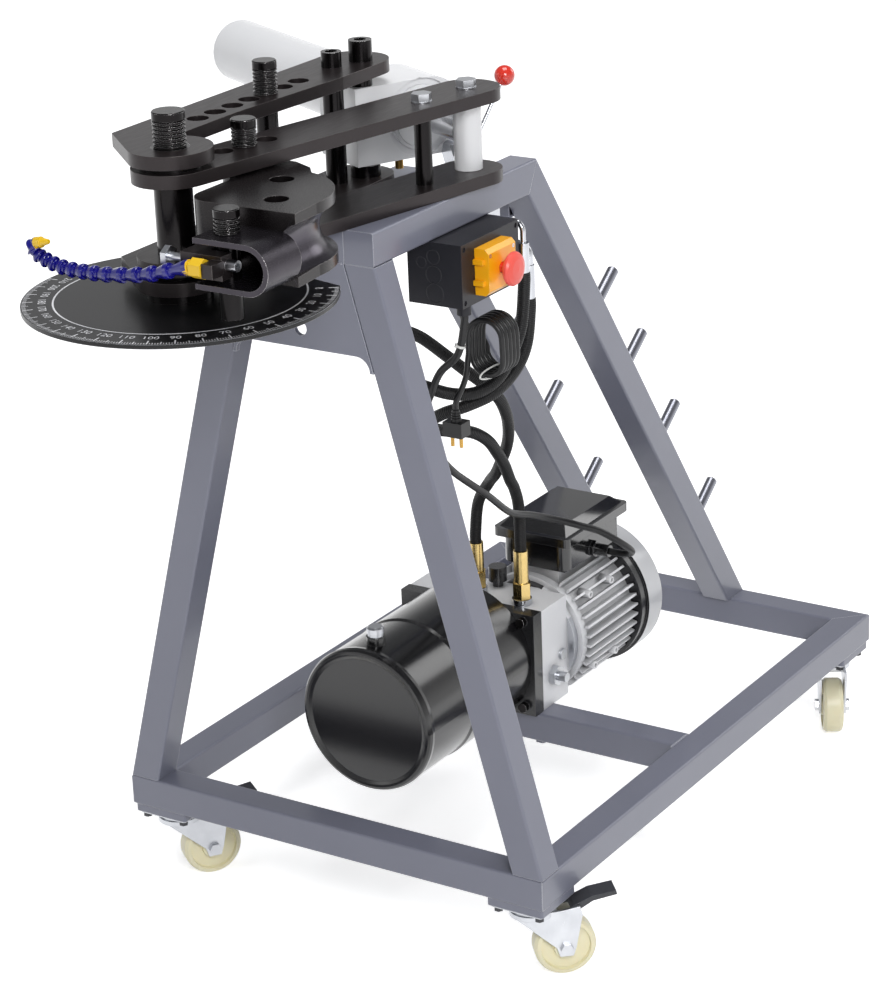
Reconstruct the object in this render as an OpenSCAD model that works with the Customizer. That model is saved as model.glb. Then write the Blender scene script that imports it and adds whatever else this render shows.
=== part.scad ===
// Hydraulic pipe bender on a wheeled frame.
// Millimetres, +Z up. Lengths are set out from the frame's left front corner on the floor:
// x runs to the right along the front, y runs to the back. The whole is then moved so that
// the origin lies on the floor under the middle of the machine.

/* [Base frame] */
// Width of the base frame over its side rails
base_w = 600; // [480:10:720]
// Length of the base frame from front tube to rear tube
base_l = 890; // [800:10:1000]
// Outer width of every square frame tube
tube_w = 40; // [36:1:44]
// Wall of the frame tubes
tube_wall = 2.5; // [2:0.5:4]
// Corner radius of the frame tubes
tube_r = 3; // [2:0.5:5]
// Distance from the front of the frame to the middle cross tube
middle_y = 395; // [390:1:400]
// Side of the square pads under the corners
pad_w = 76; // [74:1:80]
// Thickness of the corner pads
pad_t = 10; // [6:1:14]

/* [Stand] */
// Height of the table that carries the bending head
table_h = 905; // [860:5:950]
// Distance from the side of the base to the side of the upper ring
ring_inset = 195; // [185:1:200]
// Length of the upper ring rails at table height
ring_l = 355; // [340:1:370]
// How far the left ring rail lies below the table
left_drop = 38; // [34:1:46]
// Height of the apron plate's lower edge
apron_z = 758; // [740:1:780]
// Thickness of the apron plate
apron_t = 6; // [4:1:10]
// Diameter of the hole in the apron plate
apron_hole_d = 17; // [12:1:24]
// Diameter of the pegs that hold spare dies
peg_d = 15; // [12:1:18]
// Length of the pegs
peg_l = 60; // [45:1:70]

/* [Casters] */
// Distance from the base corner to the caster swivel, both ways
caster_inset = 40; // [39:1:42]
// Height of a caster from floor to mounting plate
caster_h = 100; // [98:1:104]
// Diameter of the wheels
wheel_d = 75; // [70:1:76]
// Width of the wheels
wheel_w = 28; // [24:1:30]
// Trail of the wheel axle behind the swivel
trail = 38; // [34:1:40]
// Diameter of the wheel axle
axle_d = 10; // [8:1:12]
// Side of the square caster plate
caster_plate_w = 70; // [66:1:72]

/* [Bending head] */
// Main pivot, from the left side of the base
pivot_x = 285; // [283:1:287]
// Main pivot, in front of the frame
pivot_y = -195; // [-197:1:-193]
// Thickness of the four head plates
plate_t = 15; // [12:1:16]
// Free height between the two fixed plates
head_gap = 81; // [80:1:86]
// Thickness of the thrust washers between swinging and fixed plates
washer_t = 6; // [4:1:8]
// Angle of the fixed plates from straight back
fixed_angle = 12; // [11:0.5:13]
// Length of the fixed plates behind the main pivot
fixed_l = 482; // [478:1:488]
// Width of the fixed plates
fixed_w = 75; // [72:1:78]
// Length of the swinging plates behind the main pivot
swing_l = 463; // [458:1:468]
// Width of the swinging plates near the main pivot
swing_w = 70; // [68:1:74]
// Width of the swinging plates at the cylinder
swing_far_w = 84; // [82:1:88]
// Distance between neighbouring pin holes
hole_pitch = 32; // [30:1:34]
// Number of pin holes along the swinging plates
swing_holes = 7; // [5:1:7]
// Diameter of the loose pins' shanks
pin_d = 25; // [22:1:26]
// Diameter of the ribbed pin heads
pin_head_d = 28; // [27:1:30]
// Running clearance of pins and shafts, on the radius
fit_gap = 0.05; // [0.02:0.01:0.1]
// Outer diameter of the tube round the main pivot
pivot_tube_d = 42; // [40:1:46]
// Diameter of the main pivot pin
main_pin_d = 32; // [28:1:34]

/* [Bending die] */
// Outer radius of the die
die_r = 98; // [94:1:102]
// Height of the die
die_h = 78; // [74:1:79]
// Radius of the die's groove
groove_r = 29; // [26:0.5:30]
// Depth of the die's groove
groove_depth = 18; // [15:0.5:20]
// Distance from main pivot to die centre
die_x = 90; // [88:1:92]
// Depth of the strap, front to back
strap_depth = 59; // [56:1:64]
// Thickness of the strap
strap_t = 6; // [5:0.5:7]
// Outer height of the strap
strap_h = 55; // [52:1:58]

/* [Degree disc] */
// Radius of the degree disc
disc_r = 172; // [165:1:178]
// Thickness of the degree disc
disc_t = 5; // [4:0.5:6]
// Distance from the pivot to the disc's straight side
disc_flat = 130; // [125:1:135]

/* [Cylinder] */
// Outer diameter of the cylinder barrel
barrel_d = 80; // [76:1:84]
// Wall of the barrel
barrel_wall = 6; // [5:1:8]
// Length of the barrel behind the head block
barrel_l = 380; // [360:1:400]
// Angle of the cylinder, turned left from straight right
cylinder_angle = 153.2; // [152:0.2:154]
// Distance from the rod eye to the head block
block_s = 105; // [103:1:107]
// Thickness of the head block along the cylinder
block_t = 88; // [84:1:92]
// Half width of the head block on the side away from its hinge
block_out = 58; // [52:1:60]
// Height of the head block
block_h = 94; // [90:1:98]
// Outer diameter of the gland ring
gland_d = 78; // [74:1:80]
// Diameter of the piston rod
rod_d = 25; // [22:1:28]
// Outer diameter of the rod eye
eye_d = 33; // [32:1:36]

/* [Power unit] */
// Diameter of the oil tank
tank_d = 192; // [180:1:194]
// Length of the oil tank
tank_l = 242; // [236:1:246]
// Height of the tank's centre line over the floor
tank_z = 222; // [215:1:225]
// Thickness of the tank's mounting flange
flange_t = 20; // [18:1:24]
// Width of the pump block
pump_w = 200; // [190:1:204]
// Length of the pump block
pump_l = 65; // [60:1:70]
// Height of the pump block
pump_h = 140; // [136:1:150]
// Diameter of the motor over its fins
motor_d = 180; // [172:1:184]
// Length of the finned motor case
motor_l = 139; // [130:1:145]
// Number of cooling fins round the motor
fin_count = 40; // [30:1:44]
// Diameter of the fan cover
fan_d = 194; // [186:1:198]
// Length of the fan cover
fan_l = 58; // [52:1:62]

/* [Switch] */
// Width of the switch box, out from the frame
box_w = 69; // [66:1:72]
// Length of the switch box along the ring rail
box_l = 125; // [118:1:130]
// Height of the switch box
box_h = 75; // [70:1:80]
// Diameter of the red stop button
button_d = 40; // [36:1:42]
// Travel of the stop button
button_travel = 4; // [3:0.5:5]

/* [Hoses] */
// Outer diameter of the hydraulic hoses
hose_d = 15; // [13:1:16]
// Diameter of the motor cable
cable_d = 9; // [7:1:10]
// Diameter of the mains lead
lead_d = 7; // [6:0.5:8]

/* [Hidden] */
$fn = 48;
eps = 0.01;
over = 60;

frame_paint = [0.42, 0.42, 0.46];
dark_steel = [0.17, 0.15, 0.16];
black = [0.09, 0.09, 0.10];
zinc = [0.80, 0.80, 0.80];
cast_alloy = [0.74, 0.74, 0.76];

// Levels of the frame.
base_low = caster_h + pad_t;
base_top = base_low + tube_w;
ring_low = table_h - tube_w;
left_top = table_h - left_drop;

// Slope of the front legs across the machine and of the rear legs along it.
front_slope = ring_inset / (ring_low - base_top);
front_lean = atan(front_slope);
rear_slope = (base_l - ring_l) / (table_h - base_top);
rear_lean = atan(rear_slope);
ring_right = base_w - ring_inset;
ring_left = ring_inset - left_drop * front_slope;

// Levels of the head plates.
low_fixed_z = table_h;
top_fixed_z = low_fixed_z + plate_t + head_gap;
low_swing_z = low_fixed_z - washer_t - plate_t;
top_swing_z = top_fixed_z + plate_t + washer_t;
top_swing_face = top_swing_z + plate_t;
head_mid = low_fixed_z + plate_t + head_gap / 2;

// Holes: the fixed plates' row and the swinging plates' row, measured from the main pivot.
fixed_row_x = -2;
fixed_row = [for (k = [0:2]) 74 + k * hole_pitch];
die_pin_y = fixed_row[1];
swing_row_x = -47;
swing_row = [for (k = [0:swing_holes - 1]) 112 + k * hole_pitch];
counter_pin_y = swing_row[min(4, swing_holes - 1)];
spacer_pin = [-53, 380];
hinge_pin = [-39, 420];
swing_left = -94;
fixed_left = -31;
lobe_r = 46;
hole_r = pin_d / 2 + fit_gap;
screw_d = 20;
screw_heads = [[24, 18], [28, 25]];
corner_r = 36;
swing_corner_r = 38;

// Rod eye and bolt, and the post beside it, measured along the fixed plates.
eye_xy = [385, 234];
post_local = [15, 361];
rod_bolt_d = 14;
eye_wall = 2;

// Places of the power unit.
tank_x = 262;
tank_y0 = middle_y - 10 - tank_l;
flange_y = middle_y - 10;
pump_y = flange_y + flange_t;
pump_x0 = tank_x - pump_w / 2;
pump_y1 = pump_y + pump_l;
pump_top = base_top + pump_h;
motor_x = 298;
motor_z = 220;
motor_y = pump_y1 + 10;
fan_y = motor_y + motor_l;
fit_a = [326, pump_y + 14];
fit_b = [254, pump_y + 21];

// Places of the switch box, under the right ring rail.
box_x = 373;
box_y = 115;
box_z = ring_low - box_h;
lid_x = box_x + box_w;
lid_t = 4;
gland_a = [430, 142];
gland_b = [411, 166];

// The casters: swivel places and the way each wheel trails.
caster_xy = [
  [caster_inset, caster_inset],
  [base_w - caster_inset, caster_inset],
  [caster_inset, base_l - caster_inset],
  [base_w - caster_inset, base_l - caster_inset]
];
caster_turn = [54, 42, 150, -60];
fork_in = wheel_w / 2 + 1.5;
fork_t = 3;
fork_top = wheel_d + 13;
swivel_gap = 0.1;
kingpin_d = 12;
pedal_pin = [50, 87];

// The origin lies under the middle of the whole machine.
cylinder_end = block_s + block_t + barrel_l;
left_end = eye_xy[0] + cylinder_end * cos(cylinder_angle) - barrel_d / 2 * sin(cylinder_angle);
right_end = base_w + caster_inset;
front_end = pivot_y - disc_r;
origin_xy = [(left_end + right_end) / 2, (front_end + base_l) / 2];

// Routes of hoses and cables, laid by hand.
pressure_route = [
  [437, 276, 758], [437, 276, 744], [434, 271, 702], [430, 251, 675], [423, 214, 657],
  [401, 189, 645], [372, 181, 633], [344, 190, 615], [330, 213, 598], [331, 245, 584],
  [347, 278, 574], [355, 302, 557], [353, 326, 533], [350, 348, 508], [345, 368, 481],
  [336, 392, 460], [328, 414, 427], [fit_a[0], fit_a[1], 378],
  [fit_a[0], fit_a[1], pump_top + 74]
];
return_route = [
  [446, 250, 798], [446, 250, 784], [441, 249, 733], [434, 238, 701], [430, 214, 677],
  [416, 189, 664], [396, 164, 666], [376, 136, 681], [349, 121, 694], [319, 123, 706],
  [296, 143, 718], [286, 174, 723], [292, 205, 719], [310, 228, 706], [339, 240, 683],
  [358, 250, 665], [375, 269, 642], [381, 290, 619], [377, 311, 594], [367, 332, 571],
  [355, 351, 546], [340, 368, 521], [323, 381, 495], [306, 396, 473], [284, 416, 452],
  [260, 426, 417], [fit_b[0], fit_b[1], 374], [fit_b[0], fit_b[1], pump_top + 70]
];
cable_route = [
  [gland_a[0], gland_a[1], box_z - 15], [gland_a[0], gland_a[1], box_z - 24],
  [422, 139, 727], [400, 134, 703], [391, 127, 679], [379, 132, 655], [370, 147, 630],
  [365, 161, 607], [362, 177, 585], [361, 195, 564], [361, 215, 545], [361, 237, 528],
  [363, 259, 511], [365, 281, 494], [364, 303, 477], [362, 324, 461], [358, 348, 446],
  [356, 373, 435], [356, 399, 425], [360, 424, 414], [372, 445, 404], [389, 463, 394],
  [405, 486, 381], [421, 510, 360], [425, 533, 341], [413, 548, 329], [396, 552, 325],
  [382, 552, 325]
];
cable_end = cable_route[len(cable_route) - 1];
lead_route = [
  [419, 163, 708], [419, 160, 696], [417, 156, 684], [414, 151, 673], [411, 148, 664],
  [410, 148, 659], [410, 148, 654]
];
lead_end = lead_route[len(lead_route) - 1];

// 2D square with rounded corners, its corner at the origin.
module round_rect(w, d, r) {
  translate([r, 0]) square([w - 2 * r, d]);
  translate([0, r]) square([w, d - 2 * r]);
  for (x = [r, w - r], y = [r, d - r]) translate([x, y]) circle(r);
}

// Square tube standing along +Z, closed for cap at its foot and open at its end.
module tube(len, cap = 0) {
  difference() {
    linear_extrude(len) round_rect(tube_w, tube_w, tube_r);
    translate([tube_wall, tube_wall, cap])
      cube([tube_w - 2 * tube_wall, tube_w - 2 * tube_wall, len]);
  }
}

module tube_x(len) { rotate([0, 90, 0]) tube(len); }
module tube_y(len, cap = 0) { rotate([-90, 0, 0]) tube(len, cap); }

// A prism over points in the YZ plane, from x to x + len.
module prism_yz(points, x, len) {
  translate([x, 0, 0]) rotate([90, 0, 90]) linear_extrude(len) polygon(points);
}

// A prism over points in the XZ plane, from y to y + len.
module prism_xz(points, y, len) {
  translate([0, y + len, 0]) rotate([90, 0, 0]) linear_extrude(len) polygon(points);
}

// Hexagonal head or nut, width over flats w, standing on z = 0.
module hex(w, h) { cylinder(h = h, d = w / cos(30), $fn = 6); }

// Bar of round section between two points.
module bar(p, q, d) {
  v = q - p;
  translate(p) rotate([0, acos(v[2] / norm(v)), atan2(v[1], v[0])])
    cylinder(h = norm(v), d = d);
}

// Frame: base, legs and ring.
module front_tube() color(frame_paint) {
  intersection() {
    translate([0, 0, base_top]) tube_x(base_w);
    linear_extrude(base_top)
      polygon([[0, 0], [base_w, 0], [base_w - tube_w, tube_w], [tube_w, tube_w]]);
  }
  for (c = [0, 1]) corner_pad(c);
}

module rear_tube() color(frame_paint) {
  intersection() {
    translate([0, base_l - tube_w, base_top]) tube_x(base_w);
    translate([0, base_l, 0]) linear_extrude(base_top)
      polygon([[0, 0], [tube_w, -tube_w], [base_w - tube_w, -tube_w], [base_w, 0]]);
  }
  for (c = [2, 3]) corner_pad(c);
}

module corner_pad(c) {
  translate([caster_xy[c][0] - pad_w / 2, caster_xy[c][1] - pad_w / 2, caster_h])
    linear_extrude(pad_t) round_rect(pad_w, pad_w, tube_r);
}

module side_rail_left() color(frame_paint) intersection() {
  translate([0, 0, base_top]) tube_y(base_l);
  linear_extrude(base_top)
    polygon([[0, 0], [tube_w, tube_w], [tube_w, base_l - tube_w], [0, base_l]]);
}

module side_rail_right() {
  translate([base_w, 0, 0]) mirror([1, 0, 0]) side_rail_left();
}

module middle_tube() color(frame_paint) {
  translate([tube_w, middle_y, base_top]) tube_x(base_w - 2 * tube_w);
  translate([tank_x + 92, middle_y + tube_w / 2, base_low - 8]) hex(17, 8);
}

// A front leg leans inwards; its outer face starts at the base corner. Built for the left side.
module front_leg(top) color(frame_paint) intersection() {
  translate([0, 0, base_top]) rotate([0, front_lean, 0]) translate([0, 0, -over])
    tube(top - base_top + 3 * over);
  translate([-over, 0, base_top]) cube([base_w, tube_w, top - base_top]);
}

module front_leg_left() front_leg(left_top - tube_w);

module front_leg_right() {
  translate([base_w, 0, 0]) mirror([1, 0, 0]) front_leg(ring_low);
}

// Back and front line of a rear leg at height z.
function back_y(z) = base_l - (z - base_top) * rear_slope;
function fore_y(z) = back_y(z) - tube_w / cos(rear_lean);

// The mitre between a rear leg and its ring rail, for a rail whose top lies at height top.
function mitre_out(top) = [back_y(top), top];
function mitre_in(top) = [fore_y(top - tube_w), top - tube_w];

module rear_leg(x, top) color(frame_paint) {
  out = mitre_out(top);
  in = mitre_in(top);
  step = out - in;
  intersection() {
    translate([x, base_l, base_top]) rotate([rear_lean, 0, 0]) translate([0, -tube_w, -over])
      tube(norm([base_l - ring_l, table_h - base_top]) + 2 * over);
    prism_yz([out + step, in - step, [fore_y(base_top) - over, base_top],
      [back_y(base_top) + over, base_top]], x, tube_w);
  }
}

module rear_leg_left() rear_leg(ring_left, left_top);
module rear_leg_right() rear_leg(ring_right - tube_w, table_h);

module ring_rail(x, top) color(frame_paint) intersection() {
  translate([x, 0, top]) tube_y(mitre_out(top)[0] + over, tube_wall);
  prism_yz([[0, top - tube_w], [0, top], mitre_out(top), mitre_in(top)], x, tube_w);
}

module ring_rail_left() ring_rail(ring_left, left_top);
module ring_rail_right() ring_rail(ring_right - tube_w, table_h);

// Cross tube between the rear legs, low enough for the cylinder's head to pass over.
module ring_rear_tube() color(frame_paint) {
  y = (back_y(left_top - tube_w / 2) + fore_y(left_top - tube_w / 2)) / 2;
  translate([ring_left + tube_w, y - tube_w / 2, left_top])
    tube_x(ring_right - ring_left - 2 * tube_w);
}

// Inner edge of the front legs at height z, from the left and from the right.
leg_slant_w = tube_w / cos(front_lean);
function inner_left(z) = (z - base_top) * front_slope + leg_slant_w;
function inner_right(z) = base_w - inner_left(z);
apron_fillet = 18;
apron_step_x = 268;
apron_hole = [300, 781];

// Small gusset where the apron runs into a leg, as points from the leg up to the apron.
gusset = [for (a = [180:-15:90]) apron_fillet * [1 + cos(a), sin(a)]];

module apron_plate() color(frame_paint) difference() {
  foot = apron_z - apron_fillet;
  left = inner_left(apron_z);
  prism_xz(concat(
    [[inner_left(foot), foot]],
    [for (p = gusset) [left + p[0], foot + p[1]]],
    [for (k = [len(gusset) - 1:-1:0]) [base_w - left - gusset[k][0], foot + gusset[k][1]]],
    [
      [inner_right(foot), foot],
      [inner_right(ring_low), ring_low], [ring_right - tube_w, ring_low],
      [ring_right - tube_w, table_h], [apron_step_x, table_h], [apron_step_x, left_top],
      [ring_left + tube_w, left_top], [ring_left + tube_w, left_top - tube_w],
      [inner_left(left_top - tube_w), left_top - tube_w]
    ]
  ), 0, apron_t);
  translate([apron_hole[0], apron_t + 1, apron_hole[1]]) rotate([90, 0, 0])
    cylinder(h = apron_t + 2, d = apron_hole_d);
}

// Pegs for spare dies, square to the rear legs.
peg_places = [285, 412, 565, 745];

module die_pegs() color(zinc)
  for (x = [ring_left, ring_right - tube_w], s = peg_places)
    translate([x + tube_w / 2, ring_l, table_h]) rotate([rear_lean - 90, 0, 0])
      translate([0, s, 0]) rotate([0, 0, 0]) peg();

module peg() {
  cylinder(h = peg_l - 2, d = peg_d);
  translate([0, 0, peg_l - 2]) cylinder(h = 2, d1 = peg_d, d2 = peg_d - 4);
}

// Casters.
module at_caster(c) {
  translate([caster_xy[c][0], caster_xy[c][1], 0]) rotate([0, 0, caster_turn[c]]) children();
}

module caster_plates() {
  for (c = [0:3]) {
    color(zinc) translate([caster_xy[c][0], caster_xy[c][1], 0]) {
      translate([-caster_plate_w / 2, -caster_plate_w / 2, caster_h - 3])
        linear_extrude(3) round_rect(caster_plate_w, caster_plate_w, 4);
      translate([0, 0, fork_top + swivel_gap])
        cylinder(h = caster_h - fork_top - 3 - swivel_gap, d = 50);
      translate([0, 0, fork_top - 7]) cylinder(h = 8, d = kingpin_d);
      translate([0, 0, fork_top - 9 - swivel_gap]) hex(19, 3);
    }
    color(black) for (x = [-1, 1], y = [-1, 1])
      translate([caster_xy[c][0] + x * 28, caster_xy[c][1] + y * 28, caster_h - 9]) hex(10, 6);
  }
}

module caster_fork(c) color(zinc) at_caster(c) {
  axle_z = wheel_d / 2;
  difference() {
    union() {
      translate([0, 0, fork_top - 6]) cylinder(h = 6, d = 54);
      translate([-20, -fork_in - fork_t, fork_top - 6])
        cube([48, 2 * (fork_in + fork_t), 6]);
      for (y = [-fork_in - fork_t, fork_in]) translate([0, y, 0]) fork_side(axle_z);
    }
    translate([0, 0, fork_top - 10]) cylinder(h = 12, r = kingpin_d / 2 + fit_gap);
  }
  translate([trail, fork_in + fork_t, axle_z]) rotate([90, 0, 0])
    cylinder(h = 2 * (fork_in + fork_t), d = axle_d);
  for (side = [0, 1]) mirror([0, side, 0])
    translate([trail, fork_in + fork_t, axle_z]) rotate([-90, 0, 0]) hex(14, 5);
}

module fork_side(axle_z) {
  prism_xz([
    [-20, fork_top - 6], [-20, fork_top], [28, fork_top],
    [pedal_pin[0] + 5, pedal_pin[1] + 5], [pedal_pin[0] + 8, pedal_pin[1] - 6],
    [trail + 12, axle_z + 2], [trail + 8, axle_z - 10], [trail - 8, axle_z - 10],
    [trail - 12, axle_z + 2]
  ], 0, fork_t);
}

module caster_wheel(c) at_caster(c)
  translate([trail, 0, wheel_d / 2]) rotate([90, 0, 0]) color([0.93, 0.92, 0.82])
    rotate_extrude($fn = 72) polygon([
      [axle_d / 2 + fit_gap, -wheel_w / 2 - 1], [14, -wheel_w / 2 - 1],
      [15, -wheel_w / 2 + 5], [wheel_d / 2 - 8, -wheel_w / 2 + 5],
      [wheel_d / 2 - 7, -wheel_w / 2], [wheel_d / 2 - 3, -wheel_w / 2 + 1],
      [wheel_d / 2, -wheel_w / 2 + 5], [wheel_d / 2, wheel_w / 2 - 5],
      [wheel_d / 2 - 3, wheel_w / 2 - 1], [wheel_d / 2 - 7, wheel_w / 2],
      [wheel_d / 2 - 8, wheel_w / 2 - 5], [15, wheel_w / 2 - 5],
      [14, wheel_w / 2 + 1], [axle_d / 2 + fit_gap, wheel_w / 2 + 1]
    ]);

// Brake pedal on the front casters, on a pin between the fork sides.
module brake_pedal(c) color([0.25, 0.25, 0.27]) at_caster(c) {
  reach = 1.4 * wheel_d - 4;
  difference() {
    union() {
      translate([pedal_pin[0], fork_in - 1, pedal_pin[1]]) rotate([90, 0, 0])
        cylinder(h = 2 * fork_in - 2, d = 10);
      prism_xz([
        [pedal_pin[0], pedal_pin[1] + 5], [pedal_pin[0] + 3, pedal_pin[1] - 3],
        [72, fork_top + 7], [reach, fork_top + 12], [reach - 1, fork_top + 17],
        [70, fork_top + 13]
      ], 2 - fork_in, 2 * fork_in - 4);
    }
    translate([pedal_pin[0], fork_in, pedal_pin[1]]) rotate([90, 0, 0])
      cylinder(h = 2 * fork_in, r = 2.5 + fit_gap);
  }
}

module pedal_pins(c) color(zinc) at_caster(c)
  translate([pedal_pin[0], fork_in, pedal_pin[1]]) rotate([90, 0, 0])
    cylinder(h = 2 * fork_in, d = 5);

// Bending head. Children are placed at the main pivot, or along the fixed plates.
module at_pivot(z) { translate([pivot_x, pivot_y, z]) children(); }
module at_fixed(z) { at_pivot(z) rotate([0, 0, -fixed_angle]) children(); }

module fixed_outline() {
  w = fixed_w;
  translate([fixed_left, 0]) square([w, fixed_l - corner_r]);
  translate([fixed_left + corner_r, 0]) square([w - 2 * corner_r, fixed_l]);
  for (x = [corner_r, w - corner_r])
    translate([fixed_left + x, fixed_l - corner_r]) circle(corner_r);
  circle(lobe_r - 2);
}

function along_fixed(xy) = [
  (xy[0] - pivot_x) * cos(fixed_angle) - (xy[1] - pivot_y) * sin(fixed_angle),
  (xy[0] - pivot_x) * sin(fixed_angle) + (xy[1] - pivot_y) * cos(fixed_angle)
];

module fixed_plate(z) at_fixed(z) difference() {
  linear_extrude(plate_t) fixed_outline();
  translate([0, 0, -1]) {
    cylinder(h = plate_t + 2, d = pivot_tube_d);
    for (y = fixed_row) translate([fixed_row_x, y, 0]) cylinder(h = plate_t + 2, r = hole_r);
    translate(post_local) cylinder(h = plate_t + 2, d = rod_bolt_d);
    translate(along_fixed(eye_xy)) cylinder(h = plate_t + 2, d = rod_bolt_d);
  }
}

module fixed_plates() color(dark_steel) {
  fixed_plate(low_fixed_z);
  fixed_plate(top_fixed_z);
}

// Tube round the main pivot, with the thrust rings and the hub that carries the disc,
// and the black post between the fixed plates.
hub_low = low_swing_z - 11;
pivot_foot = hub_low - disc_t - 8;

module plate_spacers() color(black) {
  difference() {
    union() {
      at_pivot(pivot_foot) cylinder(h = top_swing_face - pivot_foot, d = pivot_tube_d);
      at_pivot(hub_low) cylinder(h = low_swing_z - hub_low, r = 36);
      at_pivot(low_swing_z + plate_t) cylinder(h = washer_t, r = 34);
      at_pivot(top_fixed_z + plate_t) cylinder(h = washer_t, r = 34);
      at_pivot(pivot_foot) cylinder(h = 8, r = 30);
    }
    at_pivot(pivot_foot - 1)
      cylinder(h = top_swing_face - pivot_foot + 2, r = main_pin_d / 2 + fit_gap);
  }
  at_fixed(low_fixed_z + plate_t) translate(post_local) difference() {
    cylinder(h = head_gap, d = 20);
    translate([0, 0, -1]) cylinder(h = head_gap + 2, d = rod_bolt_d);
  }
}

// Bolts through the fixed plates: one in the post, one through the rod eye.
module plate_bolts() color(zinc) at_fixed(low_fixed_z)
  for (p = [post_local, along_fixed(eye_xy)]) translate(p) {
    height = top_fixed_z + plate_t - low_fixed_z;
    cylinder(h = height, d = rod_bolt_d);
    translate([0, 0, height]) cylinder(h = 1.5, d = 24);
    translate([0, 0, height + 1.5]) hex(21, 8.5);
  }

// Loose pin: a shank and a ribbed head with a plain cap.
module ribbed_pin(shank_d, head_d, shank_l, head_h, ribs) {
  cap = 9;
  pitch = (head_h - cap) / ribs;
  rotate_extrude() polygon(concat(
    [[0, -shank_l], [shank_d / 2 - 1.5, -shank_l], [shank_d / 2, 1.5 - shank_l],
      [shank_d / 2, 0], [head_d / 2 - 2, 0]],
    [for (k = [0:ribs - 1], p = [[-2, 0.1], [0, 0.35], [0, 0.65], [-2, 0.9]])
      [head_d / 2 + p[0], (k + p[1]) * pitch]],
    [[head_d / 2, head_h - cap], [head_d / 2, head_h - 1], [head_d / 2 - 1, head_h],
      [0, head_h]]
  ));
}

main_head_h = 39;
counter_head_h = 38;
die_head_h = 30;
strap_head_h = 26;

module main_pin() color(dark_steel) at_pivot(top_swing_face)
  ribbed_pin(main_pin_d, main_pin_d + 4, top_swing_face - pivot_foot, main_head_h, 7);

module counter_die_pin() color(dark_steel)
  at_pivot(top_swing_face) translate([swing_row_x, counter_pin_y, 0])
    ribbed_pin(pin_d, pin_head_d, top_swing_face - low_swing_z, counter_head_h, 7);

module die_pin() color(dark_steel)
  at_fixed(top_fixed_z + plate_t) translate([fixed_row_x, die_pin_y, 0])
    ribbed_pin(pin_d, pin_head_d, top_fixed_z + plate_t - low_fixed_z, die_head_h, 5);

module degree_disc() color(black) at_pivot(hub_low - disc_t) difference() {
  cylinder(h = disc_t, r = disc_r, $fn = 160);
  translate([0, 0, -1]) cylinder(h = disc_t + 2, d = pivot_tube_d);
  rotate([0, 0, -fixed_angle]) translate([-disc_r, disc_flat, -1])
    cube([2 * disc_r, disc_r, disc_t + 2]);
}

// Swinging plates and their two black pins.
module swing_outline() {
  r = swing_corner_r;
  right = swing_left + swing_w;
  far_right = swing_left + swing_far_w;
  polygon([
    [swing_left, 20], [0, -12], [right, 0], [right, 150], [far_right, 340],
    [far_right, swing_l - r], [swing_left, swing_l - r]
  ]);
  translate([swing_left + r, swing_l - 2 * r]) square([swing_far_w - 2 * r, 2 * r]);
  for (x = [swing_left + r, far_right - r]) translate([x, swing_l - r]) circle(r);
  circle(lobe_r);
  swing_nose();
}

// Straight flank from the nose corner to the front of the lobe.
module swing_nose() {
  corner = [swing_left, 20];
  reach = norm(corner);
  turn = atan2(corner[1], corner[0]) + acos(lobe_r / reach);
  polygon([corner, lobe_r * [cos(turn), sin(turn)], [0, 0], [swing_left, 60]]);
}

module swing_plate(z) at_pivot(z) difference() {
  linear_extrude(plate_t) swing_outline();
  translate([0, 0, -1]) {
    cylinder(h = plate_t + 2, r = pivot_tube_d / 2 + fit_gap);
    for (y = swing_row) translate([swing_row_x, y, 0]) cylinder(h = plate_t + 2, r = hole_r);
    for (p = [spacer_pin, hinge_pin]) translate(p) cylinder(h = plate_t + 2, d = screw_d);
  }
}

module swing_plates() color(dark_steel) {
  swing_plate(low_swing_z);
  swing_plate(top_swing_z);
}

block_low = head_mid - block_h / 2;
block_top = head_mid + block_h / 2;

module swing_pins() color(black) {
  full = top_swing_face - low_swing_z;
  for (k = [0, 1]) at_pivot(low_swing_z) translate([spacer_pin, hinge_pin][k]) difference() {
    union() {
      cylinder(h = full, d = screw_d);
      translate([0, 0, plate_t]) cylinder(h = full - 2 * plate_t, d = pin_d);
      translate([0, 0, full]) cylinder(h = screw_heads[k][1], d = screw_heads[k][0]);
    }
    translate([0, 0, full + screw_heads[k][1] - 10]) hex(14, 11);
  }
  at_pivot(low_swing_z + plate_t) translate(hinge_pin)
    cylinder(h = block_low - low_swing_z - plate_t, d = 36);
}

// Bending die: a grooved disc with a straight front and a lug under the die pin.
die_front = -48;
die_left = 50;
die_corner_r = 28;
die_low = low_fixed_z + plate_t;
lug_r = 26;
die_holes = [[141, -9], [100, 59]];

// The die pin's place, turned from the fixed plates' direction into the frame's.
lug_xy = [
  fixed_row_x * cos(fixed_angle) + die_pin_y * sin(fixed_angle),
  die_pin_y * cos(fixed_angle) - fixed_row_x * sin(fixed_angle)
];

module die_body() {
  c = die_corner_r;
  right = die_x + die_r;
  intersection() {
    translate([die_x, 0, 0]) cylinder(h = die_h, r = die_r, $fn = 120);
    translate([die_left + 6, -12, 0]) cube([2 * die_r, 200, die_h]);
  }
  linear_extrude(die_h) polygon([
    [die_left, die_front + c], [die_left + c, die_front], [right + 4, die_front],
    [right - 1, 6], [right - 20, 20], [die_left, 40]
  ]);
  translate([die_left + c, die_front + c, 0]) cylinder(h = die_h, r = c);
  translate([lug_xy[0], lug_xy[1], 0]) cylinder(h = die_h, r = lug_r);
  linear_extrude(die_h) polygon([
    [lug_xy[0] - 8, lug_xy[1] - 16], [lug_xy[0], lug_xy[1] + lug_r - 2], [72, 126], [100, 112],
    [die_x + 60, 50], [die_x, 10], [die_left + 2, 30]
  ]);
}

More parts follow.
